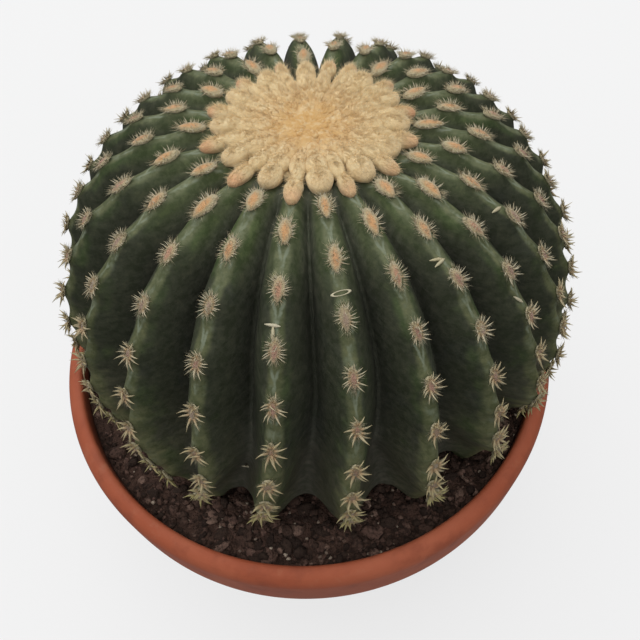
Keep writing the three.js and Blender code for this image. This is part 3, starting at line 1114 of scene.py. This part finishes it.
# The place of a pad on its rib: X is sideways, Y down the rib and Z out of it.
def padFrame(rib, length):
    reach, across = skin["frameReach"], skin["frameAcross"]
    low = skinPoint(rib, 0, min(length + reach, crestEnd))
    high = skinPoint(rib, 0, max(length - reach, 0))
    down = (low - high).normalized()
    sideways = skinPoint(rib, across, length) - skinPoint(rib, -across, length)
    sideways = sideways.normalized()
    out = down.cross(sideways).normalized()
    sideways = down.cross(out).normalized()
    place = Matrix((sideways, down, out)).transposed().to_4x4()
    place.translation = skinPoint(rib, 0, length)
    return place


# felt pads

felt = {
    "shapes": 4,
    "seed": 11,
    "youngSize": (0.0056, 0.0027),  # half-length and half-width
    "grownSize": (0.0043, 0.0020),
    "oldSize": (0.0043, 0.0028),
    "growing": (0.010, 0.060),  # metres from the wool
    "ageing": (0.10, 0.15),
    "taper": 0.38,
    "lumps": 0.16,
    "flatness": 0.62,
    "domeRise": 0.0013,
    "fringeHairs": 64,
    "topHairs": 30,
    "fringe": {"reach": (0.78, 1.02), "lift": (0.05, 0.7), "length": 1.0},
    "top": {"reach": (0.1, 0.8), "lift": (0.6, 2.2), "length": 0.8},
    "hairLength": 0.0031,
    "hairWidth": 0.00017,
    "bareBelow": 0.004,  # pads nearer the soil than this are left out
}


def padSize(length):
    grown, aged = smoothStep(length, *felt["growing"]), smoothStep(length, *felt["ageing"])
    sizes = zip(felt["youngSize"], felt["grownSize"], felt["oldSize"])
    return [mixed(mixed(young, mature, grown), old, aged) for young, mature, old in sizes]


# The pads that stand clear of the soil, each with its length down the rib and its place.
def padPlaces():
    for rib, lengths in enumerate(padTable):
        for length in lengths:
            place = padFrame(rib, length)
            if place.translation.z >= plant["soilTop"] + felt["bareBelow"]:
                yield length, place


# Low domes with a half-length of 1 along Y and a half-width of 1 along X, pointed below.
def makePadShapes():
    shapes = []
    for number in range(felt["shapes"]):
        deselectAll()
        bpy.ops.mesh.primitive_uv_sphere_add(segments=12, ring_count=7, radius=1)
        shape = bpy.context.object
        points = pointsOf(shape)
        for point in points:
            taper = 1 - felt["taper"] * smoothStep(point[1], 0.0, 1.0)
            lump = noise.noise(Vector(point) * 2.1 + Vector((number * 7, 0, 0)))
            lump = 1 + felt["lumps"] * lump
            point[0] *= taper * lump
            point[2] *= felt["flatness"] * lump * (1 - 0.2 * max(point[1], 0))
        setPoints(shape, points)
        shapes.append(shape)
    return shapes


def makeHairShape():
    deselectAll()
    bpy.ops.mesh.primitive_cone_add(vertices=3, radius1=0.5, depth=1, location=(0, 0, 0.5))
    bpy.ops.object.transform_apply(location=True)
    return bpy.context.object


# A matrix that stands a shape's Z along a direction, with its own length and width.
def standing(place, direction, length, width):
    turn = direction.to_track_quat("Z", "Y").to_matrix().to_4x4()
    sizes = Matrix.Diagonal((width, width, length, 1))
    return Matrix.Translation(place) @ turn @ sizes


def hairsOnPad(place, long, wide, age, draw):
    turn = place.to_3x3()
    hairs = []
    for number in range(felt["fringeHairs"] + round(felt["topHairs"] * (1 - 0.7 * age))):
        kind = felt["fringe"] if number < felt["fringeHairs"] else felt["top"]
        angle = draw.uniform(0, tau)
        reach = draw.uniform(*kind["reach"])
        rise = felt["domeRise"] * sqrt(max(0.0, 1 - reach * reach)) - 0.0001
        root = place @ Vector((sin(angle) * reach * wide, cos(angle) * reach * long, rise))
        lift = draw.uniform(*kind["lift"])
        across, down = sin(angle + draw.gauss(0, 0.3)), cos(angle + draw.gauss(0, 0.3))
        way = (turn @ Vector((across, down, lift))).normalized()
        size = felt["hairLength"] * draw.uniform(0.5, 1.15) * kind["length"]
        hairs.append((0, standing(root, way, size, felt["hairWidth"]), age))
    return hairs


def makePads():
    draw = random.Random(felt["seed"])
    shapes, hair = makePadShapes(), makeHairShape()
    pads, hairs = [], []
    for length, place in padPlaces():
        long, wide = padSize(length)
        long *= draw.uniform(0.88, 1.12)
        wide *= draw.uniform(0.85, 1.12)
        age = smoothStep(length, 0.01, 0.13)
        sizes = Matrix.Diagonal((wide, long, mixed(0.9, 0.6, age) * wide, 1))
        spin = Matrix.Rotation(draw.uniform(-0.12, 0.12), 4, "Z")
        pads.append((draw.randrange(felt["shapes"]), place @ spin @ sizes, age))
        hairs += hairsOnPad(place, long, wide, age, draw)
    padPiece = joinedCopies("feltPads", shapes, pads, draw)
    hairPiece = joinedCopies("padHairs", [hair], hairs, draw)
    removeShapes([*shapes, hair])
    return padPiece, hairPiece


feltPads, padHairs = makePads()
finishPiece(feltPads, makeFelt())
finishPiece(padHairs, makePadHair())
print("pads:", len(feltPads.data.polygons), "faces, hairs:", len(padHairs.data.polygons))


# spines

spine = {
    "seed": 23,
    "shapes": 3,
    "outline": [(0.46, 0.0), (0.48, 0.18), (0.27, 0.6), (0.04, 1.0)],
    "fineWidth": 0.00058,
    "stoutWidth": 0.00142,
    "shortest": 0.0032,
    "longest": 0.0050,
    "growing": (0.030, 0.100),  # metres from the wool
    "thinning": (0.055, 0.100),
    "radials": (16, 8),  # how many round the pad, young and old
    "radialSpan": (2.3, 2.85),  # how far round from the top they reach, in radians
    "radialStout": 1.0,
    "radialSpread": 0.55,
    "middles": (4, 1),
    "middle": {
        "towards": 0, "sway": pi, "lift": (1.0, 3.0), "lengths": (0.7, 1.0),
        "stout": 0.9, "spread": 0.3,
    },
    "lowers": (0, 1, 1, 2),  # one of these numbers is drawn for each older pad
    "lowersFrom": 0.070,
    "lower": {
        "towards": pi, "sway": 0.7, "lift": (0.6, 1.1), "lengths": (0.95, 1.2),
        "stout": 1.3, "spread": 0.2,
    },
    "oldest": 0.170,  # metres from the wool to the lowest pads
    "sunk": 0.0008,
    "pressed": 0.55,  # what is left of one that would meet the rim or the soil
    "rimRoom": (0.001, 0.002),  # sideways and above
    "soilRoom": 0.0005,
}


# One unit long, each more bent than the last, and sharp at the tip.
def makeSpineShapes():
    shapes = []
    for number in range(spine["shapes"]):
        shape = extrudedRings("spineShape", 4, spine["outline"])
        makeActive(shape)
        bpy.ops.object.mode_set(mode="EDIT")
        bpy.ops.mesh.select_all(action="SELECT")
        bpy.ops.mesh.fill_holes(sides=6)
        bpy.ops.mesh.normals_make_consistent(inside=False)
        bpy.ops.object.mode_set(mode="OBJECT")
        points = pointsOf(shape)
        points[:, 0] += (0.6 + 0.5 * number) * points[:, 2] ** 2
        setPoints(shape, points)
        shapes.append(shape)
    return shapes


# The spines of one pad: angle from the top, lift, length, stoutness, and how far out they stand.
def spineFan(length, draw):
    grown = smoothStep(length, *spine["growing"])
    size = mixed(spine["shortest"], spine["longest"], grown)
    span = mixed(*spine["radialSpan"], grown)
    radials = round(mixed(*spine["radials"], smoothStep(length, *spine["thinning"])))
    fan = []
    for number in range(radials):
        angle = mixed(-span, span, (number + 0.5) / radials) + draw.uniform(-0.16, 0.16)
        lift = draw.uniform(0.15, mixed(1.1, 0.6, grown))
        shorter = 0.8 + 0.2 * abs(angle) / span  # the upper ones are the shortest
        long = size * shorter * draw.uniform(0.75, 1.15)
        fan.append((angle, lift, long, spine["radialStout"], spine["radialSpread"]))

    def addSpines(kind, count):
        for _ in range(count):
            angle = kind["towards"] + draw.uniform(-kind["sway"], kind["sway"])
            lift = draw.uniform(*kind["lift"])
            long = size * draw.uniform(*kind["lengths"])
            fan.append((angle, lift, long, kind["stout"], kind["spread"]))

    addSpines(spine["middle"], round(mixed(*spine["middles"], grown)))
    if length > spine["lowersFrom"]:
        addSpines(spine["lower"], draw.choice(spine["lowers"]))
    return fan


def meetsPot(tip):
    inwards, above = spine["rimRoom"]
    byRim = hypot(tip.x, tip.y) > bowl["innerRadius"] - inwards and tip.z < bowl["height"] + above
    return byRim or tip.z < plant["soilTop"] + spine["soilRoom"]


def makeSpines():
    draw = random.Random(spine["seed"])
    shapes = makeSpineShapes()
    places = []
    for length, place in padPlaces():
        long, wide = padSize(length)
        thick = mixed(spine["fineWidth"], spine["stoutWidth"], smoothStep(length, 0.05, 0.11))
        for angle, lift, size, stout, spread in spineFan(length, draw):
            across, down = sin(angle), -cos(angle)
            x, y = across * wide * (0.35 + spread), down * long * (0.2 + spread)
            root = place @ Vector((x, y, 0.0006))
            way = Vector((across * cos(lift), down * cos(lift), sin(lift)))
            way = (place.to_3x3() @ way).normalized()
            root -= way * spine["sunk"]
            if meetsPot(root + way * size):
                size *= spine["pressed"]
            width = thick * stout * draw.uniform(0.85, 1.1)
            shape = draw.randrange(spine["shapes"])
            places.append((shape, standing(root, way, size, width), length / spine["oldest"]))
    piece = joinedCopies("spines", shapes, places, draw)
    removeShapes(shapes)
    return piece, len(places)


spinePiece, spineCount = makeSpines()
finishPiece(spinePiece, makeSpine())
print("spines:", spineCount, "with", len(spinePiece.data.polygons), "faces")


# wool crown

wool = {
    "seed": 5,
    "shapes": 5,
    "matRise": 0.0036,
    "dip": 0.0018,
    "dipShare": 0.75,  # of the wool's radius
    "edgeFall": 0.007,
    "edgeFrom": (0.026, 0.041),
    "rows": [  # radius, half-width, half-length, half-height, sunk
        (0.0258, 0.0033, 0.0060, 0.0028, 0.0004),
        (0.0208, 0.0035, 0.0068, 0.0022, 0.0006),
        (0.0160, 0.0028, 0.0068, 0.0016, 0.0006),
        (0.0114, 0.0020, 0.0058, 0.0011, 0.0006),
        (0.0076, 0.0014, 0.0038, 0.0008, 0.0005),
    ],
    "rowShift": 0.0017,  # out and in, on one rib and the next
    "rowWidths": (0.85, 1.2),
    "narrow": {"radius": 0.0352, "rise": 0.0016, "sizes": (0.0032, 0.0064, 0.0031)},
    "wide": {"radius": 0.0312, "rise": 0.0026, "sizes": (0.0046, 0.0062, 0.0040)},
    "narrowPeach": (0.5, 1.0),
    "widePeach": 0.1,
    "heartTufts": 26,
    "heartRadius": 0.0060,
    "heartSize": 0.0015,
    "fingers": 0.0010,
    "bedReach": 0.0325,
    "bedGap": 0.0005,
    "bedLumps": 0.0009,
    "bedStreaks": 200,
    "notch": 0.0020,
    "fibres": 24000,
    "fibreLength": 0.0026,
    "fibreWidth": 0.00014,
    "fibresFrom": 0.110,  # height of the point in the plant that they point away from
    "centre": 0.124,
}


def matHeight(radius):
    sunk = 1 - smoothStep(radius, 0, wool["dipShare"] * plant["woolRadius"])
    fall = wool["edgeFall"] * smoothStep(radius, *wool["edgeFrom"])
    return crownEdge + wool["matRise"] - wool["dip"] * sunk - fall


# Round tufts that run along Y, blunt at the outer end and thinner at the inner one.
def makeTuftShapes():
    shapes = []
    for number in range(wool["shapes"]):
        deselectAll()
        bpy.ops.mesh.primitive_ico_sphere_add(subdivisions=3, radius=1)
        shape = bpy.context.object
        points = pointsOf(shape)
        for point in points:
            along = point[1]
            taper = (1.03 - max(along, 0.0) ** 2) ** -0.15 - 0.3 * smoothStep(-along, 0.1, 1.0)
            lump = 1 + 0.14 * noise.noise(Vector(point) * 1.3 + Vector((number * 9, 3, 0)))
            lump += 0.05 * noise.noise(Vector(point) * 3.4 + Vector((number * 5, 0, 2)))
            point[0] *= taper * lump
            point[1] *= 1 + 0.06 * noise.noise(Vector(point) * 1.4)
            point[2] *= taper * lump * 0.95
        setPoints(shape, points)
        shapes.append(shape)
    return shapes


# A tuft's place: Y points outwards from the middle of the crown, tipped up by tilt.
def crownFrame(angle, radius, height, tilt):
    out = Vector((cos(angle) * cos(tilt), sin(angle) * cos(tilt), sin(tilt)))
    sideways = Vector((sin(angle), -cos(angle), 0))
    up = sideways.cross(out).normalized()
    place = Matrix((sideways, out, up)).transposed().to_4x4()
    place.translation = Vector((radius * cos(angle), radius * sin(angle), height))
    return plantToWorld @ place


def makeCrown():
    draw = random.Random(wool["seed"])
    shapes = makeTuftShapes()
    tufts = []
    for rib in range(plant["ribs"]):  # the youngest pads, still soft tufts, reach out over the ribs
        isNarrow = padParity(rib) == 0
        kind = wool["narrow" if isNarrow else "wide"]
        angle = crestAngle(rib, 0.0) + draw.uniform(-0.02, 0.02)
        height = crestAt(0.003)[1] + kind["rise"]
        place = crownFrame(angle, kind["radius"], height, draw.uniform(-0.14, 0.0))
        wide, long, high = kind["sizes"]
        long *= draw.uniform(0.9, 1.12)
        wide *= draw.uniform(0.9, 1.08)
        shape = draw.randrange(wool["shapes"])
        peach = draw.uniform(*wool["narrowPeach"]) if isNarrow else wool["widePeach"]
        tufts.append((shape, place @ Matrix.Diagonal((wide, long, high, 1)), peach))
    for rib in range(plant["ribs"]):  # behind each of them a row of tufts runs in to the middle
        parity = padParity(rib)
        for radius, wide, long, high, sunk in wool["rows"]:
            angle = crestAngle(rib, 0.0) + draw.uniform(-0.03, 0.03)
            at = radius + wool["rowShift"] * (-1 if parity else 1) + draw.uniform(-0.0008, 0.0008)
            height = matHeight(at) - sunk + draw.uniform(-0.0003, 0.0004)
            tilt = mixed(0.12, 0.02, smoothStep(radius, 0.006, 0.028)) + draw.uniform(-0.05, 0.05)
            place = crownFrame(angle, at, height, tilt)
            sizes = (wide * wool["rowWidths"][parity], long, high)
            sizes = [size * draw.uniform(0.88, 1.14) for size in sizes]
            shape = draw.randrange(wool["shapes"])
            tufts.append((shape, place @ Matrix.Diagonal((*sizes, 1)), 0.0))
    for number in range(wool["heartTufts"]):
        at = wool["heartRadius"] * sqrt((number + 0.5) / wool["heartTufts"])
        place = crownFrame(number * 2.4, at, matHeight(at) + draw.uniform(-0.0007, 0.0001), 0.35)
        size = wool["heartSize"] * draw.uniform(0.85, 1.25)
        shape = draw.randrange(wool["shapes"])
        tufts.append((shape, place @ Matrix.Diagonal((size, 1.8 * size, 0.7 * size, 1)), 0.0))
    piece = joinedCopies("woolTufts", shapes, tufts, draw)
    removeShapes(shapes)
    return piece, tufts


# A mat under the tufts, with a finger over each rib and its underside along the dish.
def makeWoolBed():
    deselectAll()
    bpy.ops.mesh.primitive_uv_sphere_add(segments=100, ring_count=40, radius=1)
    piece = bpy.context.object
    piece.name = "woolBed"
    crests = [crestAngle(rib, 0.0) for rib in range(plant["ribs"])]
    points = pointsOf(piece)
    for point in points:
        angle = atan2(point[1], point[0])
        toCrest = min(abs((angle - crest + pi) % tau - pi) for crest in crests)
        finger = cos(min(pi, plant["ribs"] * toCrest))  # 1 over a rib, -1 between two
        reach = wool["bedReach"] - wool["notch"] * (1 - finger)
        reach *= min(1.0, hypot(point[0], point[1]))
        finger *= smoothStep(reach, 0.008, 0.026)
        top = matHeight(reach) + wool["fingers"] * (0.7 + finger)
        sunk = plant["dishDepth"] * (1 - min(reach / plant["woolRadius"], 1.0))
        seat = crownEdge - sunk + wool["bedGap"]
        height = mixed((top + seat) / 2, top if point[2] > 0 else seat, abs(point[2]) ** 0.6)
        flat = Vector((reach * cos(angle), reach * sin(angle), 0))
        height += wool["bedLumps"] * noise.noise(flat * 210)
        point[:] = plantToWorld @ (flat + Vector((0, 0, height)))
    setPoints(piece, points)
    shadeSmooth(piece)
    addFloats(piece, "tone", np.full(len(points), 0.5))
    addFloats(piece, "share", np.zeros(len(points)))
    addVectors(piece, "own", points * wool["bedStreaks"])
    return piece


def makeFibres(tufts):
    draw = random.Random(wool["seed"] + 1)
    hair = makeHairShape()
    middle = plantToWorld @ Vector((0, 0, wool["fibresFrom"]))

    def fromMiddle(matrix):
        return (matrix.translation - middle).xy.length

    areas = []
    for _, matrix, _ in tufts:
        outer = smoothStep(fromMiddle(matrix), 0.010, 0.030)
        areas.append(matrix.col[0].length * matrix.col[1].length * mixed(0.2, 1.0, outer))
    places = []
    for _, matrix, share in draw.choices(tufts, areas, k=wool["fibres"]):
        angle, lift = draw.uniform(0, tau), draw.uniform(0.15, 1.5)
        onTuft = Vector((0.9 * cos(angle) * cos(lift), sin(angle) * cos(lift), sin(lift)))
        root = matrix @ (onTuft * 0.95)
        way = (root - matrix.translation).normalized() * 0.5 + (root - middle).normalized() * 0.5
        way += matrix.col[1].xyz.normalized() * 0.7
        loose = Vector((draw.uniform(-1, 1), draw.uniform(-1, 1), draw.uniform(-0.7, 0.7)))
        way += (1.0 if share > 0 else 0.6) * loose
        size = wool["fibreLength"] * draw.uniform(0.5, 1.15) * (1.25 if share > 0 else 1)
        size *= 1 - 0.6 * smoothStep(fromMiddle(matrix), 0.022, 0.004)
        stood = standing(root, way.normalized(), size, wool["fibreWidth"])
        places.append((0, stood, share * 0.5))
    piece = joinedCopies("woolFibres", [hair], places, draw)
    removeShapes([hair])
    return piece


woolCentre = plantToWorld @ Vector((0, 0, wool["centre"]))
woolMaterial = makeWool("crownWool", woolCentre, 1.0)
# painted light: the fibres' colour is brightened 1.4 times against the shade they cast on one
# another
fibreMaterial = makeWool("crownFibre", woolCentre, 1.4)  # they shade one another
woolTufts, tuftPlaces = makeCrown()
woolBed = makeWoolBed()
woolFibres = makeFibres(tuftPlaces)
for piece in (woolTufts, woolBed):
    finishPiece(piece, woolMaterial)
finishPiece(woolFibres, fibreMaterial)
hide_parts("wool_crown")
print("wool:", len(tuftPlaces), "tufts,", len(woolFibres.data.polygons), "fibre faces")


# dry bits that lie on the ribs

dryBits = {
    "seed": 61,
    "ring": (0.0038, 0.0010, 0.0009),  # sizes
    "blade": (0.0015, 0.0011, 0.0060),
    "bladeOutline": [(0.1, -0.5), (0.5, -0.2), (0.4, 0.2), (0.1, 0.5)],
    "lift": 0.0006,
    "places": [  # kind, rib, length, across and turn
        ("ring", 1, 0.0437, 0.0, 0.1),
        ("blade", 0, 0.0540, -0.12, 1.5),
        ("blade", 0, 0.0568, -0.08, 0.1),
        ("blade", 3, 0.0430, -0.24, 1.2),
        ("blade", 3, 0.0446, -0.20, 1.7),
        ("blade", 5, 0.0455, -0.25, 1.2),
        ("blade", 4, 0.0740, -0.10, 0.5),
        ("blade", 0, 0.1560, -0.95, 0.4),
        ("blade", 0, 0.1565, -0.93, 1.6),
    ],
}


def makeDryBits():
    draw = random.Random(dryBits["seed"])
    deselectAll()
    bpy.ops.mesh.primitive_torus_add(
        major_segments=28, minor_segments=6, major_radius=0.9, minor_radius=0.16
    )
    ring = bpy.context.object
    blade = extrudedRings("bladeShape", 5, dryBits["bladeOutline"])
    places = []
    for kind, rib, length, across, turn in dryBits["places"]:
        place = padFrame(rib, length)
        place.translation = skinPoint(rib, across, length) + place.col[2].xyz * dryBits["lift"]
        place = place @ Matrix.Rotation(turn, 4, "Z")
        if kind == "blade":  # modelled upright, so it is laid down
            place = place @ Matrix.Rotation(pi / 2, 4, "X")
        sizes = Vector(dryBits[kind]) * draw.uniform(0.8, 1.0)
        shape = ("ring", "blade").index(kind)
        places.append((shape, place @ Matrix.Diagonal((*sizes, 1)), 0.0))
    piece = joinedCopies("dryBits", [ring, blade], places, draw)
    removeShapes([ring, blade])
    return piece


dryPiece = makeDryBits()
finishPiece(dryPiece, makeHusk())
print("dry bits:", len(dryPiece.data.polygons), "faces")


# soil

soil = {
    "seed": 77,
    "segments": 300,
    "edge": 0.1156,  # radius
    "fineFrom": 0.080,  # rings stand close together outside this radius
    "fineStep": 0.0011,
    "coarseRings": (0.03, 0.06),
    "pinhole": 0.0002,
    "lumpHeight": 0.0016,
    "counts": {"lump": 70, "crumb": 1850, "chip": 240, "grit": 190},
    "sizes": {"lump": (0.0018, 0.0030), "chip": (0.0012, 0.0032), "grit": (0.0004, 0.0011)},
    "crumbSizes": (0.0008, 0.0020),
    "flatness": (1.0, 0.85, 0.7, 0.95, 0.34, 0.28),  # of each lump, the last two chips of bark
    "chipsFrom": 4,
    "chipLength": 1.5,
    "roughness": 0.55,
    "scatter": (0.083, 0.1145),  # radii
    "underPlant": 0.0015,  # how far a crumb may lie under the plant's edge
    "tries": 60,
    "gap": 0.0003,
    "wallGap": 0.0006,
    "least": 0.0003,  # smaller ones are left out
    "hollow": 0.0030,  # how far it has washed out round the plant's foot
    "hollowWidth": 0.006,
    "parts": 720,  # of a full turn, for the outline of the plant's foot
}


def partOfTurn(x, y):
    return ((np.arctan2(y, x) + pi) / tau * soil["parts"]).astype(int) % soil["parts"]


# How far the plant reaches at the soil, by angle round its own foot.
def footOutline():
    points = pointsOf(ribbedSkin)
    near = points[np.abs(points[:, 2] - plant["soilTop"] - 0.002) < 0.003]
    x, y = near[:, 0] - plant["place"][0], near[:, 1] - plant["place"][1]
    reach = np.zeros(soil["parts"])
    np.maximum.at(reach, partOfTurn(x, y), np.hypot(x, y))
    return reach


footReach = footOutline()


def fromFoot(x, y):
    aroundX, aroundY = x - plant["place"][0], y - plant["place"][1]
    return hypot(aroundX, aroundY) - footReach[partOfTurn(aroundX, aroundY)]


def bedHeight(x, y):
    place = Vector((x, y, 0))
    lumps = 0.6 * noise.noise(place * 70) + 0.45 * noise.noise(place * 190)
    hollow = 1 - smoothStep(fromFoot(x, y), 0.0, soil["hollowWidth"])
    return plant["soilTop"] + soil["lumpHeight"] * lumps - soil["hollow"] * hollow


def makeSoilBed():
    top, floor = plant["soilTop"], bowl["floor"] + soil["gap"]
    wall = [(radius - soil["gap"], height) for radius, height in reversed(bowl["innerWall"][1:])]
    wall[0] = (wall[0][0], floor)
    wall[1] = (wall[1][0], wall[1][1] + soil["gap"])
    small, middle = soil["coarseRings"]
    outline = [(soil["pinhole"], floor), (small, floor), *wall, (soil["edge"], top)]
    radius = soil["edge"] - soil["fineStep"]
    while radius > soil["fineFrom"]:
        outline.append((radius, top))
        radius -= soil["fineStep"]
    outline += [(middle, top), (small, top), (soil["pinhole"], top)]
    piece = extrudedRings("soilBed", soil["segments"], outline)
    points = pointsOf(piece)
    for point in points:
        if point[2] > top - 0.0001:
            point[2] = bedHeight(point[0], point[1])
    setPoints(piece, points)
    return piece


def makeLumpShapes():
    shapes = []
    for number, flat in enumerate(soil["flatness"]):
        deselectAll()
        bpy.ops.mesh.primitive_ico_sphere_add(subdivisions=2, radius=1)
        shape = bpy.context.object
        points = pointsOf(shape)
        for point in points:
            lump = noise.noise(Vector(point) * 1.5 + Vector((number * 11, 0, 0)))
            point *= 1 + soil["roughness"] * lump
            point[2] *= flat
            if number >= soil["chipsFrom"]:
                point[0] *= soil["chipLength"]
        setPoints(shape, points)
        shapes.append(shape)
    return shapes


# A place on the soil that the plant doesn't cover.
def freeSpot(draw):
    nearest, farthest = soil["scatter"]
    for _ in range(soil["tries"]):
        angle = draw.uniform(-pi, pi)
        radius = sqrt(draw.uniform(nearest**2, farthest**2))
        x, y = radius * cos(angle), radius * sin(angle)
        if fromFoot(x, y) > -soil["underPlant"]:
            return x, y, radius
    return None


def scatterSoil():
    draw = random.Random(soil["seed"])
    shapes = makeLumpShapes()
    crumbs, grits = [], []
    kinds = [kind for kind, count in soil["counts"].items() for _ in range(count)]
    for kind in kinds:
        spot = freeSpot(draw)
        if spot is None:
            continue
        x, y, radius = spot
        size = mixed(*soil["crumbSizes"], draw.random() ** 2.4)  # most are small
        if kind in soil["sizes"]:
            size = draw.uniform(*soil["sizes"][kind])
        if radius + size > bowl["innerRadius"]:
            size = min(size, bowl["innerRadius"] - soil["wallGap"] - radius)
        if size < soil["least"]:
            continue
        angle = draw.uniform(0, tau)
        turn = Matrix.Rotation(angle, 4, Vector([draw.gauss(0, 1) for _ in range(3)]))
        if kind == "chip":  # it lies nearly flat
            turn = Matrix.Rotation(draw.uniform(0, tau), 4, "Z")
            turn = turn @ Matrix.Rotation(draw.gauss(0, 0.45), 4, "X")
        height = bedHeight(x, y) + size * draw.uniform(-0.25, 0.35)
        matrix = Matrix.Translation((x, y, height)) @ turn @ Matrix.Scale(size, 4)
        firstChip, end = soil["chipsFrom"], len(shapes)
        shape = draw.randrange(firstChip, end) if kind == "chip" else draw.randrange(firstChip)
        (grits if kind == "grit" else crumbs).append((shape, matrix, 0.0))
    crumbPiece = joinedCopies("soilCrumbs", shapes, crumbs, draw)
    gritPiece = joinedCopies("soilGrit", shapes, grits, draw)
    removeShapes(shapes)
    return crumbPiece, gritPiece


soilBed = makeSoilBed()
finishPiece(soilBed, makeSoilGround())
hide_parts("soil")
soilCrumbs, soilGrit = scatterSoil()
finishPiece(soilCrumbs, makeSoilCrumb())
finishPiece(soilGrit, makeGrit())
print("soil:", len(soilCrumbs.data.polygons), "crumb faces")


# floor and light

studio = {
    "floor": (0.14, 0.14, 0.14),
    "floorSize": 8,
    "glow": (1, 1, 1),
    "glowStrength": 0.71,
    "sky": (0.98, 0.99, 1.0),
    "skyLow": 0.20,
    "skyHigh": 0.98,
    "bounce": 0.32,
    "backdrop": 0.86,
    "sunPlace": (-0.25, 0.3, 1.0),
    "sunStrength": 1.28,
    "sunSpread": 70,  # degrees
}


def addFloor():
    deselectAll()
    bpy.ops.mesh.primitive_plane_add(size=studio["floorSize"], location=(0, 0, 0))
    floor = bpy.context.object
    floor.name = "floor"
    material, _, shader = newMaterial("paleFloor")
    setShader(shader, colour=studio["floor"], rough=0.9)
    setShader(shader, glow=studio["glow"], glowStrength=studio["glowStrength"])
    floor.data.materials.append(material)
    floor.visible_diffuse = False  # the plant stands in light from above
    floor.visible_glossy = False


def addSun():
    lamp = bpy.data.lights.new("windowLight", "SUN")
    lamp.energy = studio["sunStrength"]
    lamp.angle = radians(studio["sunSpread"])
    holder = bpy.data.objects.new("windowLight", lamp)
    bpy.context.scene.collection.objects.link(holder)
    holder.location = studio["sunPlace"]
    holder.rotation_euler = (-holder.location).to_track_quat("-Z", "Y").to_euler()


def addSky():
    world = bpy.data.worlds.new("studio")
    world.use_nodes = True
    tree = world.node_tree
    background = tree.nodes["Background"]
    background.inputs["Color"].default_value = (*studio["sky"], 1)
    up = xyz(tree.nodes.new("ShaderNodeTexCoord").outputs["Generated"])[2]
    higher = times(band(up, -0.3, 0.9), studio["skyHigh"] - studio["skyLow"])
    bounce = times(band(up, -0.45, -0.75), studio["bounce"])
    strength = plus(higher, studio["skyLow"], bounce)
    seen = tree.nodes.new("ShaderNodeLightPath").outputs["Is Camera Ray"]  # an even backdrop
    change = times(seen, minus(studio["backdrop"], strength))
    plug(plus(strength, change), background.inputs["Strength"])
    bpy.context.scene.world = world
    bpy.context.scene.view_settings.view_transform = "Standard"


addFloor()
addSky()
addSun()
print("floor and lights placed")
